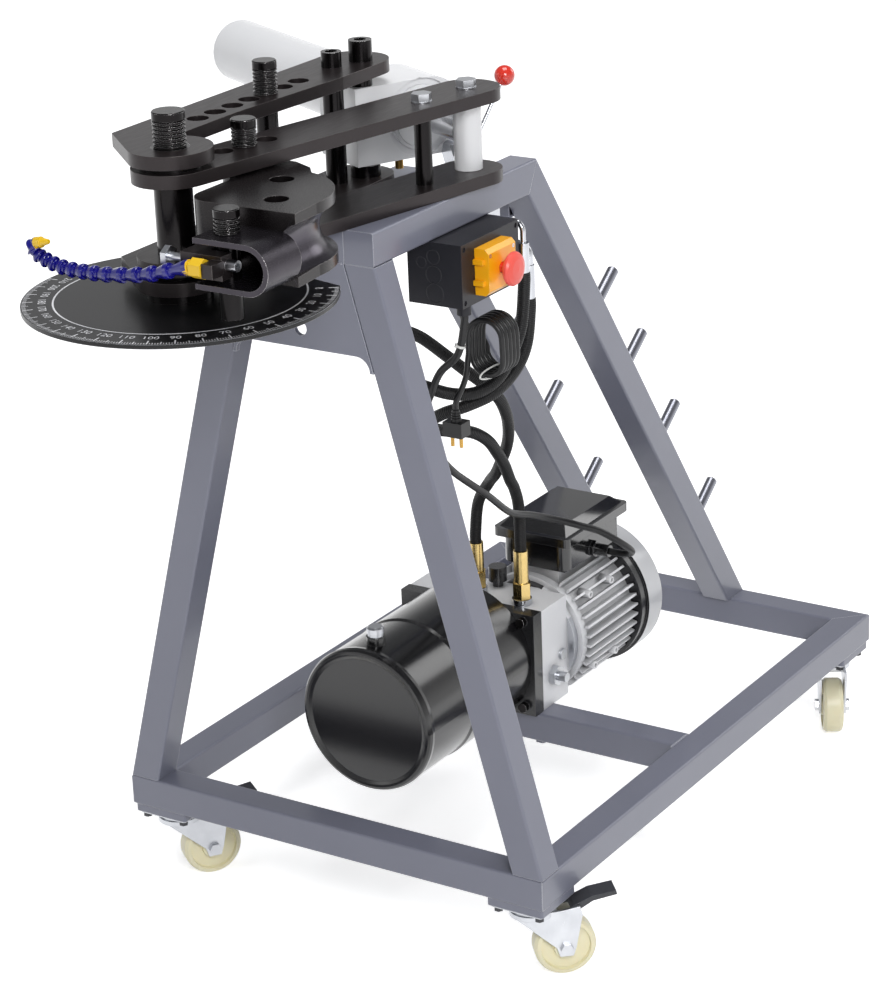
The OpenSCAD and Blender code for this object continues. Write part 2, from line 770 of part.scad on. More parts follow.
module bending_die() color(black) at_pivot(die_low) difference() {
  die_body();
  translate([die_x, 0, die_h / 2]) {
    rotate_extrude(angle = 95, $fn = 120)
      translate([die_r - groove_depth + groove_r, 0]) circle(groove_r);
    translate([die_r - groove_depth + groove_r, 0, 0]) rotate([90, 0, 0])
      cylinder(h = 2 * die_r, r = groove_r);
  }
  translate([lug_xy[0], lug_xy[1], -1]) cylinder(h = die_h + 2, r = hole_r);
  for (p = die_holes) translate([p[0], p[1], -1]) cylinder(h = die_h + 2, d = 27);
}

// Strap that holds the tube in the die, with its block and loose pin.
strap_back = die_front;
strap_front = strap_back - strap_depth;
strap_nose = 197;
strap_end = 104;
strap_mid = head_mid - 10;
strap_low = strap_mid - strap_h / 2;
strap_pin_xy = [125, -75];

module strap_section() {
  r = strap_h / 2;
  x1 = strap_nose - r;
  difference() {
    union() {
      translate([strap_end, -r]) square([x1 - strap_end, 2 * r]);
      translate([x1, 0]) circle(r);
    }
    translate([60, strap_t - r]) square([x1 - 60, strap_h - 2 * strap_t]);
    translate([x1, 0]) circle(r - strap_t);
  }
}

module tube_strap() color([0.45, 0.44, 0.45]) at_pivot(0) difference() {
  translate([0, strap_back, strap_mid]) rotate([90, 0, 0])
    linear_extrude(strap_depth) strap_section();
  translate([strap_pin_xy[0], strap_pin_xy[1], strap_low - 1])
    cylinder(h = strap_h + 2, r = hole_r);
}

module strap_block() at_pivot(0) {
  low = strap_mid - 15;
  high = strap_mid + 11;
  side = strap_pin_xy[0] - pin_d / 2 - 0.5;
  color(dark_steel) {
    translate([block_x, strap_front, low]) cube([block_len, 18, high - low]);
    translate([block_x, strap_front, low]) cube([side - block_x, strap_depth, high - low]);
    translate([strap_end, strap_front + 36, high - eps])
      cube([side - strap_end, strap_depth - 36, strap_low + strap_h - strap_t - high + eps]);
  }
  translate([block_x, strap_front + 11, strap_mid]) rotate([0, 90, 0]) color(zinc) {
    translate([0, 0, -21]) cylinder(h = 21, d = 10);
    translate([0, 0, -27]) hex(20, 7);
    translate([0, 0, block_len]) difference() {
      cylinder(h = 13, d = 12);
      translate([0, 0, 7]) hex(6, 7);
    }
  }
  color([0.62, 0.45, 0.22]) translate([127, arm_y - 7, strap_mid - 8])
    cube([14, strap_front - arm_y + 7, 15]);
}

block_x = 87;
block_len = 52;

module strap_pin() color(dark_steel)
  at_pivot(strap_low + strap_h) translate([strap_pin_xy[0], strap_pin_xy[1], 0])
    ribbed_pin(pin_d, pin_head_d, strap_low + strap_h - hub_low - 12, strap_head_h, 4);

// Cylinder. Children stand in its own directions: x along it from the rod eye, y to its
// front side, z up from the middle of the head.
module at_cylinder() {
  translate([eye_xy[0], eye_xy[1], head_mid]) rotate([0, 0, cylinder_angle]) children();
}

// The same place seen along the cylinder, as distance from the eye and from its middle.
hinge_world = [pivot_x + hinge_pin[0] - eye_xy[0], pivot_y + hinge_pin[1] - eye_xy[1]];
ear_s = hinge_world[0] * cos(cylinder_angle) + hinge_world[1] * sin(cylinder_angle);
ear_y = hinge_world[1] * cos(cylinder_angle) - hinge_world[0] * sin(cylinder_angle);
ear_wall = 18;
recess_l = 5;
bore_d = barrel_d - 2 * barrel_wall;
block_end = block_s + block_t;

module cylinder_head() color([0.90, 0.90, 0.91]) at_cylinder() difference() {
  union() {
    translate([block_s, 0, 0]) rotate([90, 0, 90]) linear_extrude(block_t) block_face();
    translate([block_s - 3, 0, 0]) rotate([0, 90, 0])
      cylinder(h = 4, d = gland_d - 8, $fn = 72);
  }
  translate([ear_s, ear_y, -block_h / 2 - 1])
    cylinder(h = block_h + 2, r = pin_d / 2 + fit_gap);
  translate([block_s - 4, 0, 0]) rotate([0, 90, 0])
    cylinder(h = block_t + 5, r = rod_d / 2 + fit_gap);
  translate([block_s - 1, 0, 0]) rotate([0, 90, 0]) difference() {
    cylinder(h = recess_l + 1, d = gland_d + 16, $fn = 72);
    translate([0, 0, -1]) cylinder(h = recess_l + 3, d = gland_d, $fn = 72);
  }
}

// End face of the head block: square on the hinge side, rounded on its other upper corner.
module block_face() {
  w = block_out;
  h = block_h / 2;
  r = h - 2;
  hinge_side = ear_y + ear_wall;
  translate([-w, -h]) square([w + hinge_side, 2 * h - r]);
  translate([-w + r, -h]) square([w - r + hinge_side, 2 * h]);
  translate([-w + r, h - r]) circle(r, $fn = 72);
}

module cylinder_barrel() color([0.88, 0.88, 0.89]) at_cylinder() {
  translate([block_end, 0, 0]) rotate([0, 90, 0]) difference() {
    cylinder(h = barrel_l, d = barrel_d, $fn = 96);
    translate([0, 0, -1]) cylinder(h = barrel_l - 11, d = bore_d, $fn = 96);
  }
}

rod_stroke = 170;
piston_l = 28;

module cylinder_rod() at_cylinder() {
  end = block_end + barrel_l - 14;
  color([0.85, 0.85, 0.86]) {
    rotate([0, 90, 0]) translate([0, 0, eye_d / 2 - 2]) cylinder(h = end - eye_d / 2, d = rod_d);
    translate([end - piston_l, 0, 0]) rotate([0, 90, 0])
      cylinder(h = piston_l, r = bore_d / 2 - 0.1, $fn = 96);
    difference() {
      translate([0, 0, 0.3 - head_gap / 2]) cylinder(h = head_gap - 0.6, d = eye_d);
      translate([0, 0, -head_gap / 2]) cylinder(h = head_gap, d = eye_d - 2 * eye_wall);
    }
  }
}

// Ball valve in front of the head block: a boss, a bright hexagon and a blue body across it,
// and its lever with a red ball.
valve_s = block_s - 14;
valve_y = -25;
valve_z = -46;
valve_l = 31;
lever_dir = [0.09, -0.56, 0.82];

module ball_valve() at_cylinder() {
  color(zinc) translate([valve_s - 2, valve_y - 9, valve_z + 6]) rotate([0, 90, 0])
    cylinder(h = block_s - valve_s + 2, d = 14);
  color(zinc) translate([valve_s, valve_y, valve_z]) rotate([90, 0, 0]) hex(24, 17);
  color([0.10, 0.25, 0.62]) translate([valve_s, valve_y - 17, valve_z]) rotate([90, 0, 0])
    cylinder(h = valve_l - 17, d = 22);
  color([0.62, 0.45, 0.22]) translate([block_s + 6, 30, -block_h / 2 - 11])
    cylinder(h = 11, d = 10);
}

module valve_lever() at_cylinder() translate([valve_s, valve_y - valve_l, valve_z]) {
  color(zinc) rotate([90, 0, 0]) cylinder(h = 5, d = 14);
  color(zinc) bar([0, -2.5, 0], [0, -2.5, 0] + 90 * lever_dir, 5);
  color([0.85, 0.12, 0.08]) translate([0, -2.5, 0] + 98 * lever_dir)
    sphere(d = 25, $fn = 96);
}

// Power unit.
module oil_tank() color(black) {
  r = tank_d / 2;
  translate([tank_x, tank_y0, tank_z]) rotate([-90, 0, 0]) {
    rotate_extrude($fn = 120) polygon([
      [0, 3], [r - 14, 3], [r - 10, 1], [r - 7, 0], [r - 4, 1], [r - 2, 4], [r - 1, 8], [r - 2, 14],
      [r - 2, tank_l * 0.43], [r, tank_l * 0.45], [r, tank_l], [r - 4, tank_l],
      [r - 4, 20], [0, 20]
    ]);
  }
  translate([tank_x, tank_y0 + 32, tank_z + r - 7]) rotate([0, 0, 45]) difference() {
    cylinder(h = 15, d = 24);
    translate([0, 0, -1]) cylinder(h = 17, r = 8 + fit_gap);
  }
}

// Filler cap: a stem in the neck, a black collar and a bright knurled top.
module filler_cap() color(zinc)
  translate([tank_x, tank_y0 + 32, tank_z + tank_d / 2 + 8]) {
    translate([0, 0, -7.5]) cylinder(h = 7.6, r = 8);
    cylinder(h = 4, d = 20);
    translate([0, 0, 4]) cylinder(h = 7, d = 22);
    translate([0, 0, 11]) cylinder(h = 2, d1 = 22, d2 = 17);
  }

module pump_block() {
  color(black) difference() {
    translate([pump_x0 - 1, flange_y, base_top]) cube([pump_w + 2, flange_t, pump_h + 1]);
    translate([tank_x, flange_y - 1, tank_z]) rotate([-90, 0, 0])
      cylinder(h = 8, d = tank_d - 30);
  }
  color(cast_alloy) translate([pump_x0, pump_y, base_top]) cube([pump_w, pump_l, pump_h]);
  color(cast_alloy) translate([motor_x, pump_y1, motor_z]) rotate([-90, 0, 0])
    cylinder(h = motor_y - pump_y1, d = 150);
  right = pump_x0 + pump_w;
  color(zinc) {
    for (z = [12, pump_h - 9]) translate([right - 15, flange_y, base_top + z])
      rotate([90, 0, 0]) cylinder(h = 8, d = 13);
    translate([right, pump_y + 28, base_top + 41]) rotate([0, 90, 0]) {
      hex(24, 9);
      translate([0, 0, 9]) cylinder(h = 12, d = 13);
    }
    translate([right, pump_y + 50, base_top + 62]) rotate([0, 90, 0]) cylinder(h = 4, d = 15);
  }
  color(black) translate([pump_x0 + 105, pump_y1 - 14, pump_top]) {
    cylinder(h = 8, d = 14);
    translate([0, 0, 8]) cylinder(h = 20, d = 24);
  }
}

// Hose ends: adapters and crimped sleeves on the pump block, elbows and sleeves on the frame.
module crimp(xy, low, tail) {
  translate([xy[0], xy[1], low]) {
    color(zinc) cylinder(h = 8, d = 26);
    color([0.78, 0.62, 0.30]) {
      translate([0, 0, 8]) hex(22, 22);
      translate([0, 0, 30]) cylinder(h = tail - 30, d = 19);
    }
  }
}

module elbow(p, low, sleeve, top, pipe_d) {
  bend_r = 12;
  color(zinc) {
    translate([p[0], p[1], low]) cylinder(h = sleeve, d = 14);
    translate([p[0], p[1], low + sleeve]) cylinder(h = top - bend_r - low - sleeve, d = pipe_d);
    translate([p[0] - bend_r, p[1], top - bend_r]) rotate([90, 0, 0])
      rotate_extrude(angle = 90) translate([bend_r, 0]) circle(d = pipe_d);
    translate([elbow_x, p[1], top]) rotate([0, 90, 0])
      cylinder(h = p[0] - bend_r - elbow_x, d = pipe_d);
  }
}

// Block under the ring rail from which both elbows start.
elbow_x = 394;
low_elbow = ring_low - 43;

module elbow_block() {
  y0 = return_route[0][1] - 9;
  y1 = pressure_route[0][1] + 9;
  color(zinc) {
    translate([elbow_x - 18, y0, ring_low - 16]) cube([18 + eps, y1 - y0, 16]);
    translate([elbow_x - 18, y1 - 18, low_elbow - 9])
      cube([18 + eps, 18, ring_low - low_elbow]);
  }
}

module hose_fittings() {
  crimp(fit_a, pump_top, 74);
  crimp(fit_b, pump_top, 70);
  elbow([return_route[0][0], return_route[0][1]], return_route[0][2], 36, ring_low - 6, 7);
  elbow([pressure_route[0][0], pressure_route[0][1]], pressure_route[0][2], 41, low_elbow, 11);
  elbow_block();
}

module motor_body() color(cast_alloy) {
  core_d = motor_d - 26;
  pad = [72, 100];
  translate([motor_x, motor_y, motor_z]) rotate([-90, 0, 0]) {
    cylinder(h = motor_l, d = core_d, $fn = 96);
    cylinder(h = 12, d = motor_d - 16, $fn = 96);
    for (k = [0:fin_count - 1]) let (a = (k + 0.5) * 360 / fin_count)
      if (sin(a) > 0 || abs(cos(a)) * core_d / 2 > pad[0] / 2 + 4)
        rotate([0, 0, a]) translate([core_d / 2 - 2, -1.6, 8]) cube([14, 3.2, motor_l - 10]);
  }
  translate([motor_x - pad[0] / 2, motor_y + 20, motor_z]) cube([pad[0], pad[1], box_seat - motor_z]);
}

box_seat = motor_z + 86;
box_low = motor_z + fan_d / 2 - 2;

module fan_cover() {
  translate([motor_x, fan_y, motor_z]) rotate([-90, 0, 0]) {
    color(black) cylinder(h = 14, d = fan_d - 6, $fn = 96);
    color([0.85, 0.85, 0.85]) translate([0, 0, 14]) rotate_extrude($fn = 96) polygon([
      [0, 0], [fan_d / 2, 0], [fan_d / 2, fan_l - 22], [fan_d / 2 - 6, fan_l - 15],
      [30, fan_l - 14], [0, fan_l - 14]
    ]);
  }
}

module terminal_box() color(black) {
  x0 = motor_x - 48;
  x1 = x0 + 114;
  y0 = motor_y - 6;
  y1 = fan_y + 17;
  rim = box_low + 37;
  mid = [(x0 + x1) / 2, (y0 + y1) / 2];
  translate([mid[0] - 36, motor_y + 20, box_seat]) cube([72, 100, box_low - box_seat]);
  translate([x0 + 8, y0 + 8, box_low])
    linear_extrude(rim - box_low) round_rect(x1 - x0 - 16, y1 - y0 - 16, 14);
  translate([x0, y0, rim]) linear_extrude(12) round_rect(x1 - x0, y1 - y0, 8);
  translate([mid[0], mid[1], rim + 12]) linear_extrude(12, scale = 0.8)
    square([x1 - x0 - 14, y1 - y0 - 14], center = true);
  translate([x1 - 8, cable_end[1], cable_end[2]]) rotate([0, 90, 0]) {
    hex(20, 6);
    cylinder(h = cable_end[0] - x1 + 8, d = 16);
  }
}

// Switch box under the right ring rail, with its lid, glands and the stop switch.
module switch_box() {
  color(black) {
    translate([box_x, box_y, box_z]) cube([box_w, box_l, box_h]);
    for (g = [[gland_a, cable_d], [gland_b, lead_d]]) translate([g[0][0], g[0][1], box_z - 15])
      cylinder(h = 15, d = g[1] + 8);
  }
  color([0.45, 0.45, 0.47]) difference() {
    translate([lid_x, box_y, box_z]) cube([lid_t, box_l, box_h]);
    for (y = [6, box_l - 6], z = [6, box_h - 6])
      translate([lid_x + lid_t - 1.5, box_y + y, box_z + z]) rotate([0, 90, 0])
        cylinder(h = 2, d = 6);
  }
}

house_y0 = 143;
house_l = 59;
house_z0 = box_z + 10;
house_h = 55;
house_d = 19;
button_y = house_y0 + house_l / 2;
button_z = house_z0 + house_h / 2;
house_face = lid_x + lid_t + house_d;
stem_w = 13;
button_stem = button_travel + 6;

module switch_housing() color([0.95, 0.75, 0.05]) difference() {
  union() {
    prism_xz([
      [lid_x + lid_t, house_z0], [house_face - 5, house_z0], [house_face, house_z0 + 5],
      [house_face, house_z0 + house_h - 5], [house_face - 5, house_z0 + house_h],
      [lid_x + lid_t, house_z0 + house_h]
    ], house_y0, house_l);
    for (z = [12, house_h - 18]) translate([lid_x + lid_t, house_y0 - 4, house_z0 + z])
      cube([house_d - 6, 5, 6]);
  }
  translate([house_face - 12, button_y, button_z]) rotate([0, 90, 0])
    cylinder(h = 13, r = stem_w / 2 + 0.3);
}

module stop_button() color([0.87, 0.10, 0.08]) translate([house_face, button_y, button_z])
  rotate([0, 90, 0]) {
    translate([0, 0, -6]) cylinder(h = 6 + button_stem + eps, d = stem_w);
    translate([0, 0, button_stem]) rotate_extrude($fn = 72) polygon([
      [0, 0], [button_d / 2 - 3, 0], [button_d / 2, 3], [button_d / 2, 6],
      [button_d / 2 - 2, 9], [button_d / 2 - 8, 11], [0, 12]
    ]);
  }

// Swept cords: rings of points round a route, smoothed by a cubic through its points.
function unit(v) = v / norm(v);
function curve_at(a, b, c, d, t) = 0.5 * (2 * b + (c - a) * t
  + (2 * a - 5 * b + 4 * c - d) * t * t + (3 * b - a - 3 * c + d) * t * t * t);
function smooth(p, n) = [
  for (i = [0:len(p) - 2], k = [0:n - 1])
    curve_at(p[max(i - 1, 0)], p[i], p[i + 1], p[min(i + 2, len(p) - 1)], k / n),
  p[len(p) - 1]
];
function tangents(p) = [
  for (i = [0:len(p) - 1]) unit(p[min(i + 1, len(p) - 1)] - p[max(i - 1, 0)])
];
function carry(t, i, n) = i >= len(t) ? [] :
  let (m = unit(n - (n * t[i]) * t[i])) concat([m], carry(t, i + 1, m));

module sweep(p, d, sides) {
  t = tangents(p);
  n = carry(t, 0, abs(t[0][0]) < 0.8 ? [1, 0, 0] : [0, 1, 0]);
  count = len(p);
  points = [for (i = [0:count - 1], k = [0:sides - 1])
    p[i] + d / 2 * (cos(360 * k / sides) * n[i] + sin(360 * k / sides) * cross(t[i], n[i]))];
  sides_faces = [for (i = [0:count - 2], k = [0:sides - 1], h = [0, 1])
    let (a = i * sides + k, b = i * sides + (k + 1) % sides)
      h == 0 ? [a, a + sides, b] : [b, a + sides, b + sides]];
  ends = [[for (k = [0:sides - 1]) k], [for (k = [sides - 1:-1:0]) (count - 1) * sides + k]];
  polyhedron(points, concat(sides_faces, ends), convexity = 8);
}

module pressure_hose() color(black) sweep(pressure_route, hose_d, 12);
module return_hose() color(black) sweep(return_route, hose_d, 12);
module motor_cable() color(black) sweep(cable_route, cable_d, 10);
module mains_lead() color(black) sweep(lead_route, lead_d, 8);

// Hank of the mains lead: long loops with round ends, laid side by side towards the front,
// between a run down beside them from the gland and a run down to the plug.
hank_mid = [441, 728];
hank_half = [22, 34];
hank_pitch = lead_d + 1;
hank_turns = 5;
hank_rings = 18;
hank_last_y = 166;
hank_run = 2 * (hank_half[1] - hank_half[0]);
hank_arc = PI * hank_half[0];
function hank_loop(u) = let (v = u - floor(u), t = v * 2 * (hank_run + hank_arc))
  t < hank_run / 2 ? [-hank_half[0], -t]
  : t < hank_run / 2 + hank_arc ? hank_bend(180 + (t - hank_run / 2) / hank_half[0] * 180 / PI, -1)
  : t < hank_run * 1.5 + hank_arc ? [hank_half[0], t - hank_run - hank_arc]
  : t < hank_run * 1.5 + 2 * hank_arc
    ? hank_bend((t - hank_run * 1.5 - hank_arc) / hank_half[0] * 180 / PI, 1)
  : [-hank_half[0], 2 * (hank_run + hank_arc) - t];
function hank_bend(a, side) = [
  hank_half[0] * cos(a), side * hank_run / 2 + hank_half[0] * sin(a)
];
function hank_point(k) = let (p = hank_loop(k / hank_rings)) [
  hank_mid[0] + p[0],
  hank_last_y + hank_pitch * (hank_turns - k / hank_rings),
  hank_mid[1] + p[1]
];
hank_first_y = hank_last_y + hank_pitch * hank_turns;
hank_left = hank_mid[0] - hank_half[0];
hank_route = concat(
  [
    [gland_b[0], gland_b[1], box_z - 15], [gland_b[0], gland_b[1], box_z - 19],
    [gland_b[0], gland_b[1] + 2, box_z - 27],
    [gland_b[0] - 1, gland_b[1] + 9, box_z - 38], [gland_b[0] - 1, gland_b[1] + 23, box_z - 48],
    [gland_b[0] + 1, gland_b[1] + 36, box_z - 58]
  ],
  [for (k = [1:hank_turns * hank_rings]) hank_point(k)],
  [[hank_left, hank_last_y, hank_mid[1] - 8], lead_route[0]]
);
hank_apart = hank_rings / 2;
hank_gap = min([for (i = [0:len(hank_route) - 1], j = [i + hank_apart:1:len(hank_route) - 1])
  norm(hank_route[i] - hank_route[j])]) - lead_d;

module mains_hank() color(black) sweep(hank_route, lead_d, 6);

// Plug at the end of the lead: ribbed relief, body and two round contacts.
module mains_plug() translate(lead_end) rotate([180, 0, 0]) {
  color(black) difference() {
    cylinder(h = 14, d1 = lead_d + 2, d2 = lead_d + 6);
    for (z = [3, 6, 9]) translate([0, 0, z]) difference() {
      cylinder(h = 1.2, d = 30);
      cylinder(h = 1.2, d = lead_d + 1);
    }
  }
  color(black) translate([-13, -10, 14]) cube([26, 20, 18]);
  color([0.8, 0.65, 0.3]) for (x = [-6, 6]) translate([x, 0, 32]) cylinder(h = 14, d = 4.5);
}

// Jointed nozzle arm: a brass elbow, a yellow nut and blue ball links down to the nozzle.
arm_y = strap_front - 12;
arm_points = [
  [109, 0], [83, -7], [62, -13], [42, -17], [22, -20], [2, -22], [-15, -23], [-30, -23],
  [-45, -23], [-58, -22], [-70, -20], [-80, -17], [-89, -14], [-96, -9], [-99, -4], [-94, 1]
];

// One link from p to q: a ball inside the last skirt, a neck and a flared skirt.
module arm_link(p, q) {
  v = q - p;
  translate(p) rotate([0, acos(v[2] / norm(v)), atan2(v[1], v[0])])
    rotate_extrude($fn = 32) polygon([
      [0, 0], [8, 0], [8.5, 1], [8.5, norm(v) * 0.25], [5.5, norm(v) * 0.8],
      [5.5, norm(v)], [0, norm(v)]
    ]);
}

module nozzle_arm() at_pivot(0) {
  points = [for (p = arm_points) [p[0], arm_y, strap_mid + p[1]]];
  last = points[len(points) - 1];
  nut = arm_points[0][0] + 3;
  color([0.95, 0.80, 0.10]) translate([nut, arm_y, strap_mid]) rotate([0, 90, 0]) hex(19, 15);
  color([0.95, 0.80, 0.10]) translate([nut - 5, arm_y, strap_mid]) rotate([0, 90, 0])
    cylinder(h = 6, d = 12);
  color([0.05, 0.10, 0.60]) for (k = [0:len(points) - 2]) arm_link(points[k], points[k + 1]);
  color([0.05, 0.10, 0.60]) for (p = points) translate(p) rotate([90, 0, 0])
    rotate_extrude($fn = 24) intersection() {
      circle(5.9, $fn = 24);
      translate([0, -6]) square([6, 12]);
    }
  color([0.95, 0.80, 0.10]) translate(last) rotate([0, 80, 0]) {
    cylinder(h = 8, d = 12);
    translate([0, 0, 8]) cylinder(h = 10, d1 = 10, d2 = 5);
  }
}

echo(hank_gap = hank_gap, ear_s = ear_s, ear_y = ear_y, origin_xy = origin_xy);

module place() { translate([-origin_xy[0], -origin_xy[1], 0]) children(); }

place() front_tube();
place() rear_tube();
place() side_rail_left();
place() side_rail_right();
place() middle_tube();
place() front_leg_left();
place() front_leg_right();
place() rear_leg_left();
place() rear_leg_right();
place() ring_rail_left();
place() ring_rail_right();
place() ring_rear_tube();
place() apron_plate();
place() die_pegs();
place() caster_plates();
place() { caster_fork(0); pedal_pins(0); }  // caster_fork_fl
place() { caster_fork(1); pedal_pins(1); }  // caster_fork_fr
place() caster_fork(2);  // caster_fork_rl
place() caster_fork(3);  // caster_fork_rr
place() caster_wheel(0);  // caster_wheel_fl
place() caster_wheel(1);  // caster_wheel_fr
place() caster_wheel(2);  // caster_wheel_rl
place() caster_wheel(3);  // caster_wheel_rr
place() brake_pedal(0);  // brake_pedal_fl
place() brake_pedal(1);  // brake_pedal_fr
place() fixed_plates();
place() plate_spacers();
place() plate_bolts();
place() main_pin();
place() degree_disc();
place() swing_plates();
place() swing_pins();
place() counter_die_pin();
place() die_pin();
place() bending_die();
place() tube_strap();
place() strap_block();
place() strap_pin();
place() cylinder_barrel();
place() cylinder_head();
place() cylinder_rod();
place() ball_valve();
place() valve_lever();
place() oil_tank();
place() filler_cap();
place() pump_block();
place() hose_fittings();
place() motor_body();
place() fan_cover();
place() terminal_box();
place() switch_box();
place() switch_housing();
place() stop_button();
place() pressure_hose();
place() return_hose();
place() motor_cable();
place() mains_hank();
place() mains_lead();
place() mains_plug();
place() nozzle_arm();
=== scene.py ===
import math

import bmesh
import bpy
from mathutils import Matrix, Vector


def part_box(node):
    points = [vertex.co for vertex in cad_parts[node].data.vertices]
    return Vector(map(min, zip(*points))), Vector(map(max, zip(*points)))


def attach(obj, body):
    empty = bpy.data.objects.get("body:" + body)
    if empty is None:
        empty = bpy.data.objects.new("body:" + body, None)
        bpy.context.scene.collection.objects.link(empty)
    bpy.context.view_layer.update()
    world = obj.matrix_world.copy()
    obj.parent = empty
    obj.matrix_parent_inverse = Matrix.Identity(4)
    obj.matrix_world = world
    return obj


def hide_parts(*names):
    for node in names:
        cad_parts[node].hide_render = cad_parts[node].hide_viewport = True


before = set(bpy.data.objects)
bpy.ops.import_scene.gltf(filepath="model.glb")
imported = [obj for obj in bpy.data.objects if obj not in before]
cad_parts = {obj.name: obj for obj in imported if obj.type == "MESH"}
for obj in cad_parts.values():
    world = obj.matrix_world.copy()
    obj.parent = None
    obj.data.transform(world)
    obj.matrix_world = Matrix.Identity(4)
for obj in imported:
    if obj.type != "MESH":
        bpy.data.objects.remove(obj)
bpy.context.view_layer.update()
scene = bpy.context.scene
scene.view_settings.view_transform = "Standard"

# The camera stands in front of the bender's right side, above the head, about 3.8 m from
# its middle. It is set by the photograph's own vanishing lines.
eye = Vector((1.98620, -2.93856, 1.82845))
azimuth, elevation, roll = 2.1525, -0.3708, -0.0403
sensor_width, focal_widths = 36, 3.0481
ahead = Vector((math.cos(elevation) * math.cos(azimuth), math.cos(elevation) * math.sin(azimuth),
                math.sin(elevation)))
level = ahead.cross(Vector((0, 0, 1))).normalized()
right = math.cos(roll) * level + math.sin(roll) * level.cross(ahead)
upward = -math.sin(roll) * level + math.cos(roll) * level.cross(ahead)
lens = bpy.data.cameras.new("studio_camera")
lens.lens = sensor_width * focal_widths
lens.sensor_width = sensor_width
lens.shift_x, lens.shift_y = 0.0121, 0.0165
lens.clip_start, lens.clip_end = 0.05, 60
camera = bpy.data.objects.new("studio_camera", lens)
camera.matrix_world = Matrix((right, upward, -ahead)).transposed().to_4x4()
camera.location = eye
scene.collection.objects.link(camera)
scene.camera = camera


# Studio: a sheet of white paper under soft lamps. To the camera and in reflections the paper
# glows, more so away from the machine, until it is as white as the wall. To the lamps it is
# plain matt paper, so that it keeps the bender's shadow.
def linear(code):
    """A colour as the renderer takes it, from its sRGB hex code."""
    parts = [int(code[k:k + 2], 16) / 255 for k in (1, 3, 5)]
    return tuple(p / 12.92 if p <= 0.04045 else ((p + 0.055) / 1.055) ** 2.4
                 for p in parts) + (1.0,)


def fill(node, **sockets):
    """Fills a node's sockets with links, hex colours or values. A socket goes by its name, with
    _ for a space, or by i and its number where others share the name."""
    for name, value in sockets.items():
        key = int(name[1:]) if name[1:].isdigit() else name.replace("_", " ")
        if isinstance(value, bpy.types.NodeSocket):
            node.id_data.links.new(value, node.inputs[key])
        else:
            node.inputs[key].default_value = linear(value) if isinstance(value, str) else value


def add(tree, kind, settings=None, **sockets):
    """Adds a node to a tree, with its settings, and fills its sockets."""
    made = tree.nodes.new("ShaderNode" + kind)
    for name, value in (settings or {}).items():
        setattr(made, name, value)
    fill(made, **sockets)
    return made


def plain_sight(tree):
    """The rays' own node, and 1 for those from the camera, also through glass, or else 0."""
    ray = add(tree, "LightPath")
    return ray, add(tree, "Math", {"operation": "MAXIMUM"}, i0=ray.outputs["Is Camera Ray"],
                    i1=ray.outputs["Is Transmission Ray"])


world = bpy.data.worlds.new("studio_world")
scene.world = world
world.use_nodes = True
sky = world.node_tree
sky.nodes.clear()
ray, through = plain_sight(sky)
way = add(sky, "TexCoord")
height = add(sky, "SeparateXYZ", Vector=way.outputs["Generated"])
wall = add(sky, "MapRange", Value=height.outputs["Z"], From_Min=0.10, From_Max=0.45,
           To_Min=1.0, To_Max=0.0)
mirrored = add(sky, "Math", {"operation": "MULTIPLY"}, i0=ray.outputs["Is Glossy Ray"],
               i1=wall.outputs[0])
seen = add(sky, "Math", {"operation": "MAXIMUM"}, i0=through.outputs[0], i1=mirrored.outputs[0])
dim = add(sky, "Background", Color="#eef0f4", Strength=0.27)
white = add(sky, "Background", Color="#ffffff", Strength=1.0)
pick = add(sky, "MixShader", Fac=seen.outputs[0], i1=dim.outputs[0], i2=white.outputs[0])
add(sky, "OutputWorld", Surface=pick.outputs[0])

paper_reach, paper_height = 14, -0.0005
near_glow, far_glow, near_reach, far_reach = 0.62, 1.0, 0.8, 3.0
paper = bpy.data.materials.new("matt_white_paper")
paper.use_nodes = True
tree = paper.node_tree
tree.nodes.clear()
ray, through = plain_sight(tree)
seen = add(tree, "Math", {"operation": "MAXIMUM"}, i0=through.outputs[0],
           i1=ray.outputs["Is Glossy Ray"])
where = add(tree, "TexCoord")
mottle_mm = 31
mottle = add(tree, "TexNoise", Vector=where.outputs["Object"], Scale=1000 / mottle_mm, Detail=3.0)
tint = add(tree, "MixRGB", Fac=mottle.outputs["Fac"], Color1="#f2f2f2", Color2="#fafafa")
matt = add(tree, "BsdfDiffuse", Color=tint.outputs[0])
away = add(tree, "VectorMath", {"operation": "LENGTH"}, i0=where.outputs["Object"])
fade = add(tree, "MapRange", Value=away.outputs["Value"], From_Min=near_reach, From_Max=far_reach,
           To_Min=near_glow, To_Max=far_glow)
glow = add(tree, "Emission", Color="#ffffff", Strength=fade.outputs[0])
both = add(tree, "AddShader", i0=matt.outputs[0], i1=glow.outputs[0])
pick = add(tree, "MixShader", Fac=seen.outputs[0], i1=matt.outputs[0], i2=both.outputs[0])
add(tree, "OutputMaterial", Surface=pick.outputs[0])
bm = bmesh.new()
bmesh.ops.create_grid(bm, x_segments=2, y_segments=2, size=paper_reach)
floor_mesh = bpy.data.meshes.new("paper_floor")
bm.to_mesh(floor_mesh)
bm.free()
floor = bpy.data.objects.new("paper_floor", floor_mesh)
floor.location = (0, 0, paper_height)
floor_mesh.materials.append(paper)
scene.collection.objects.link(floor)

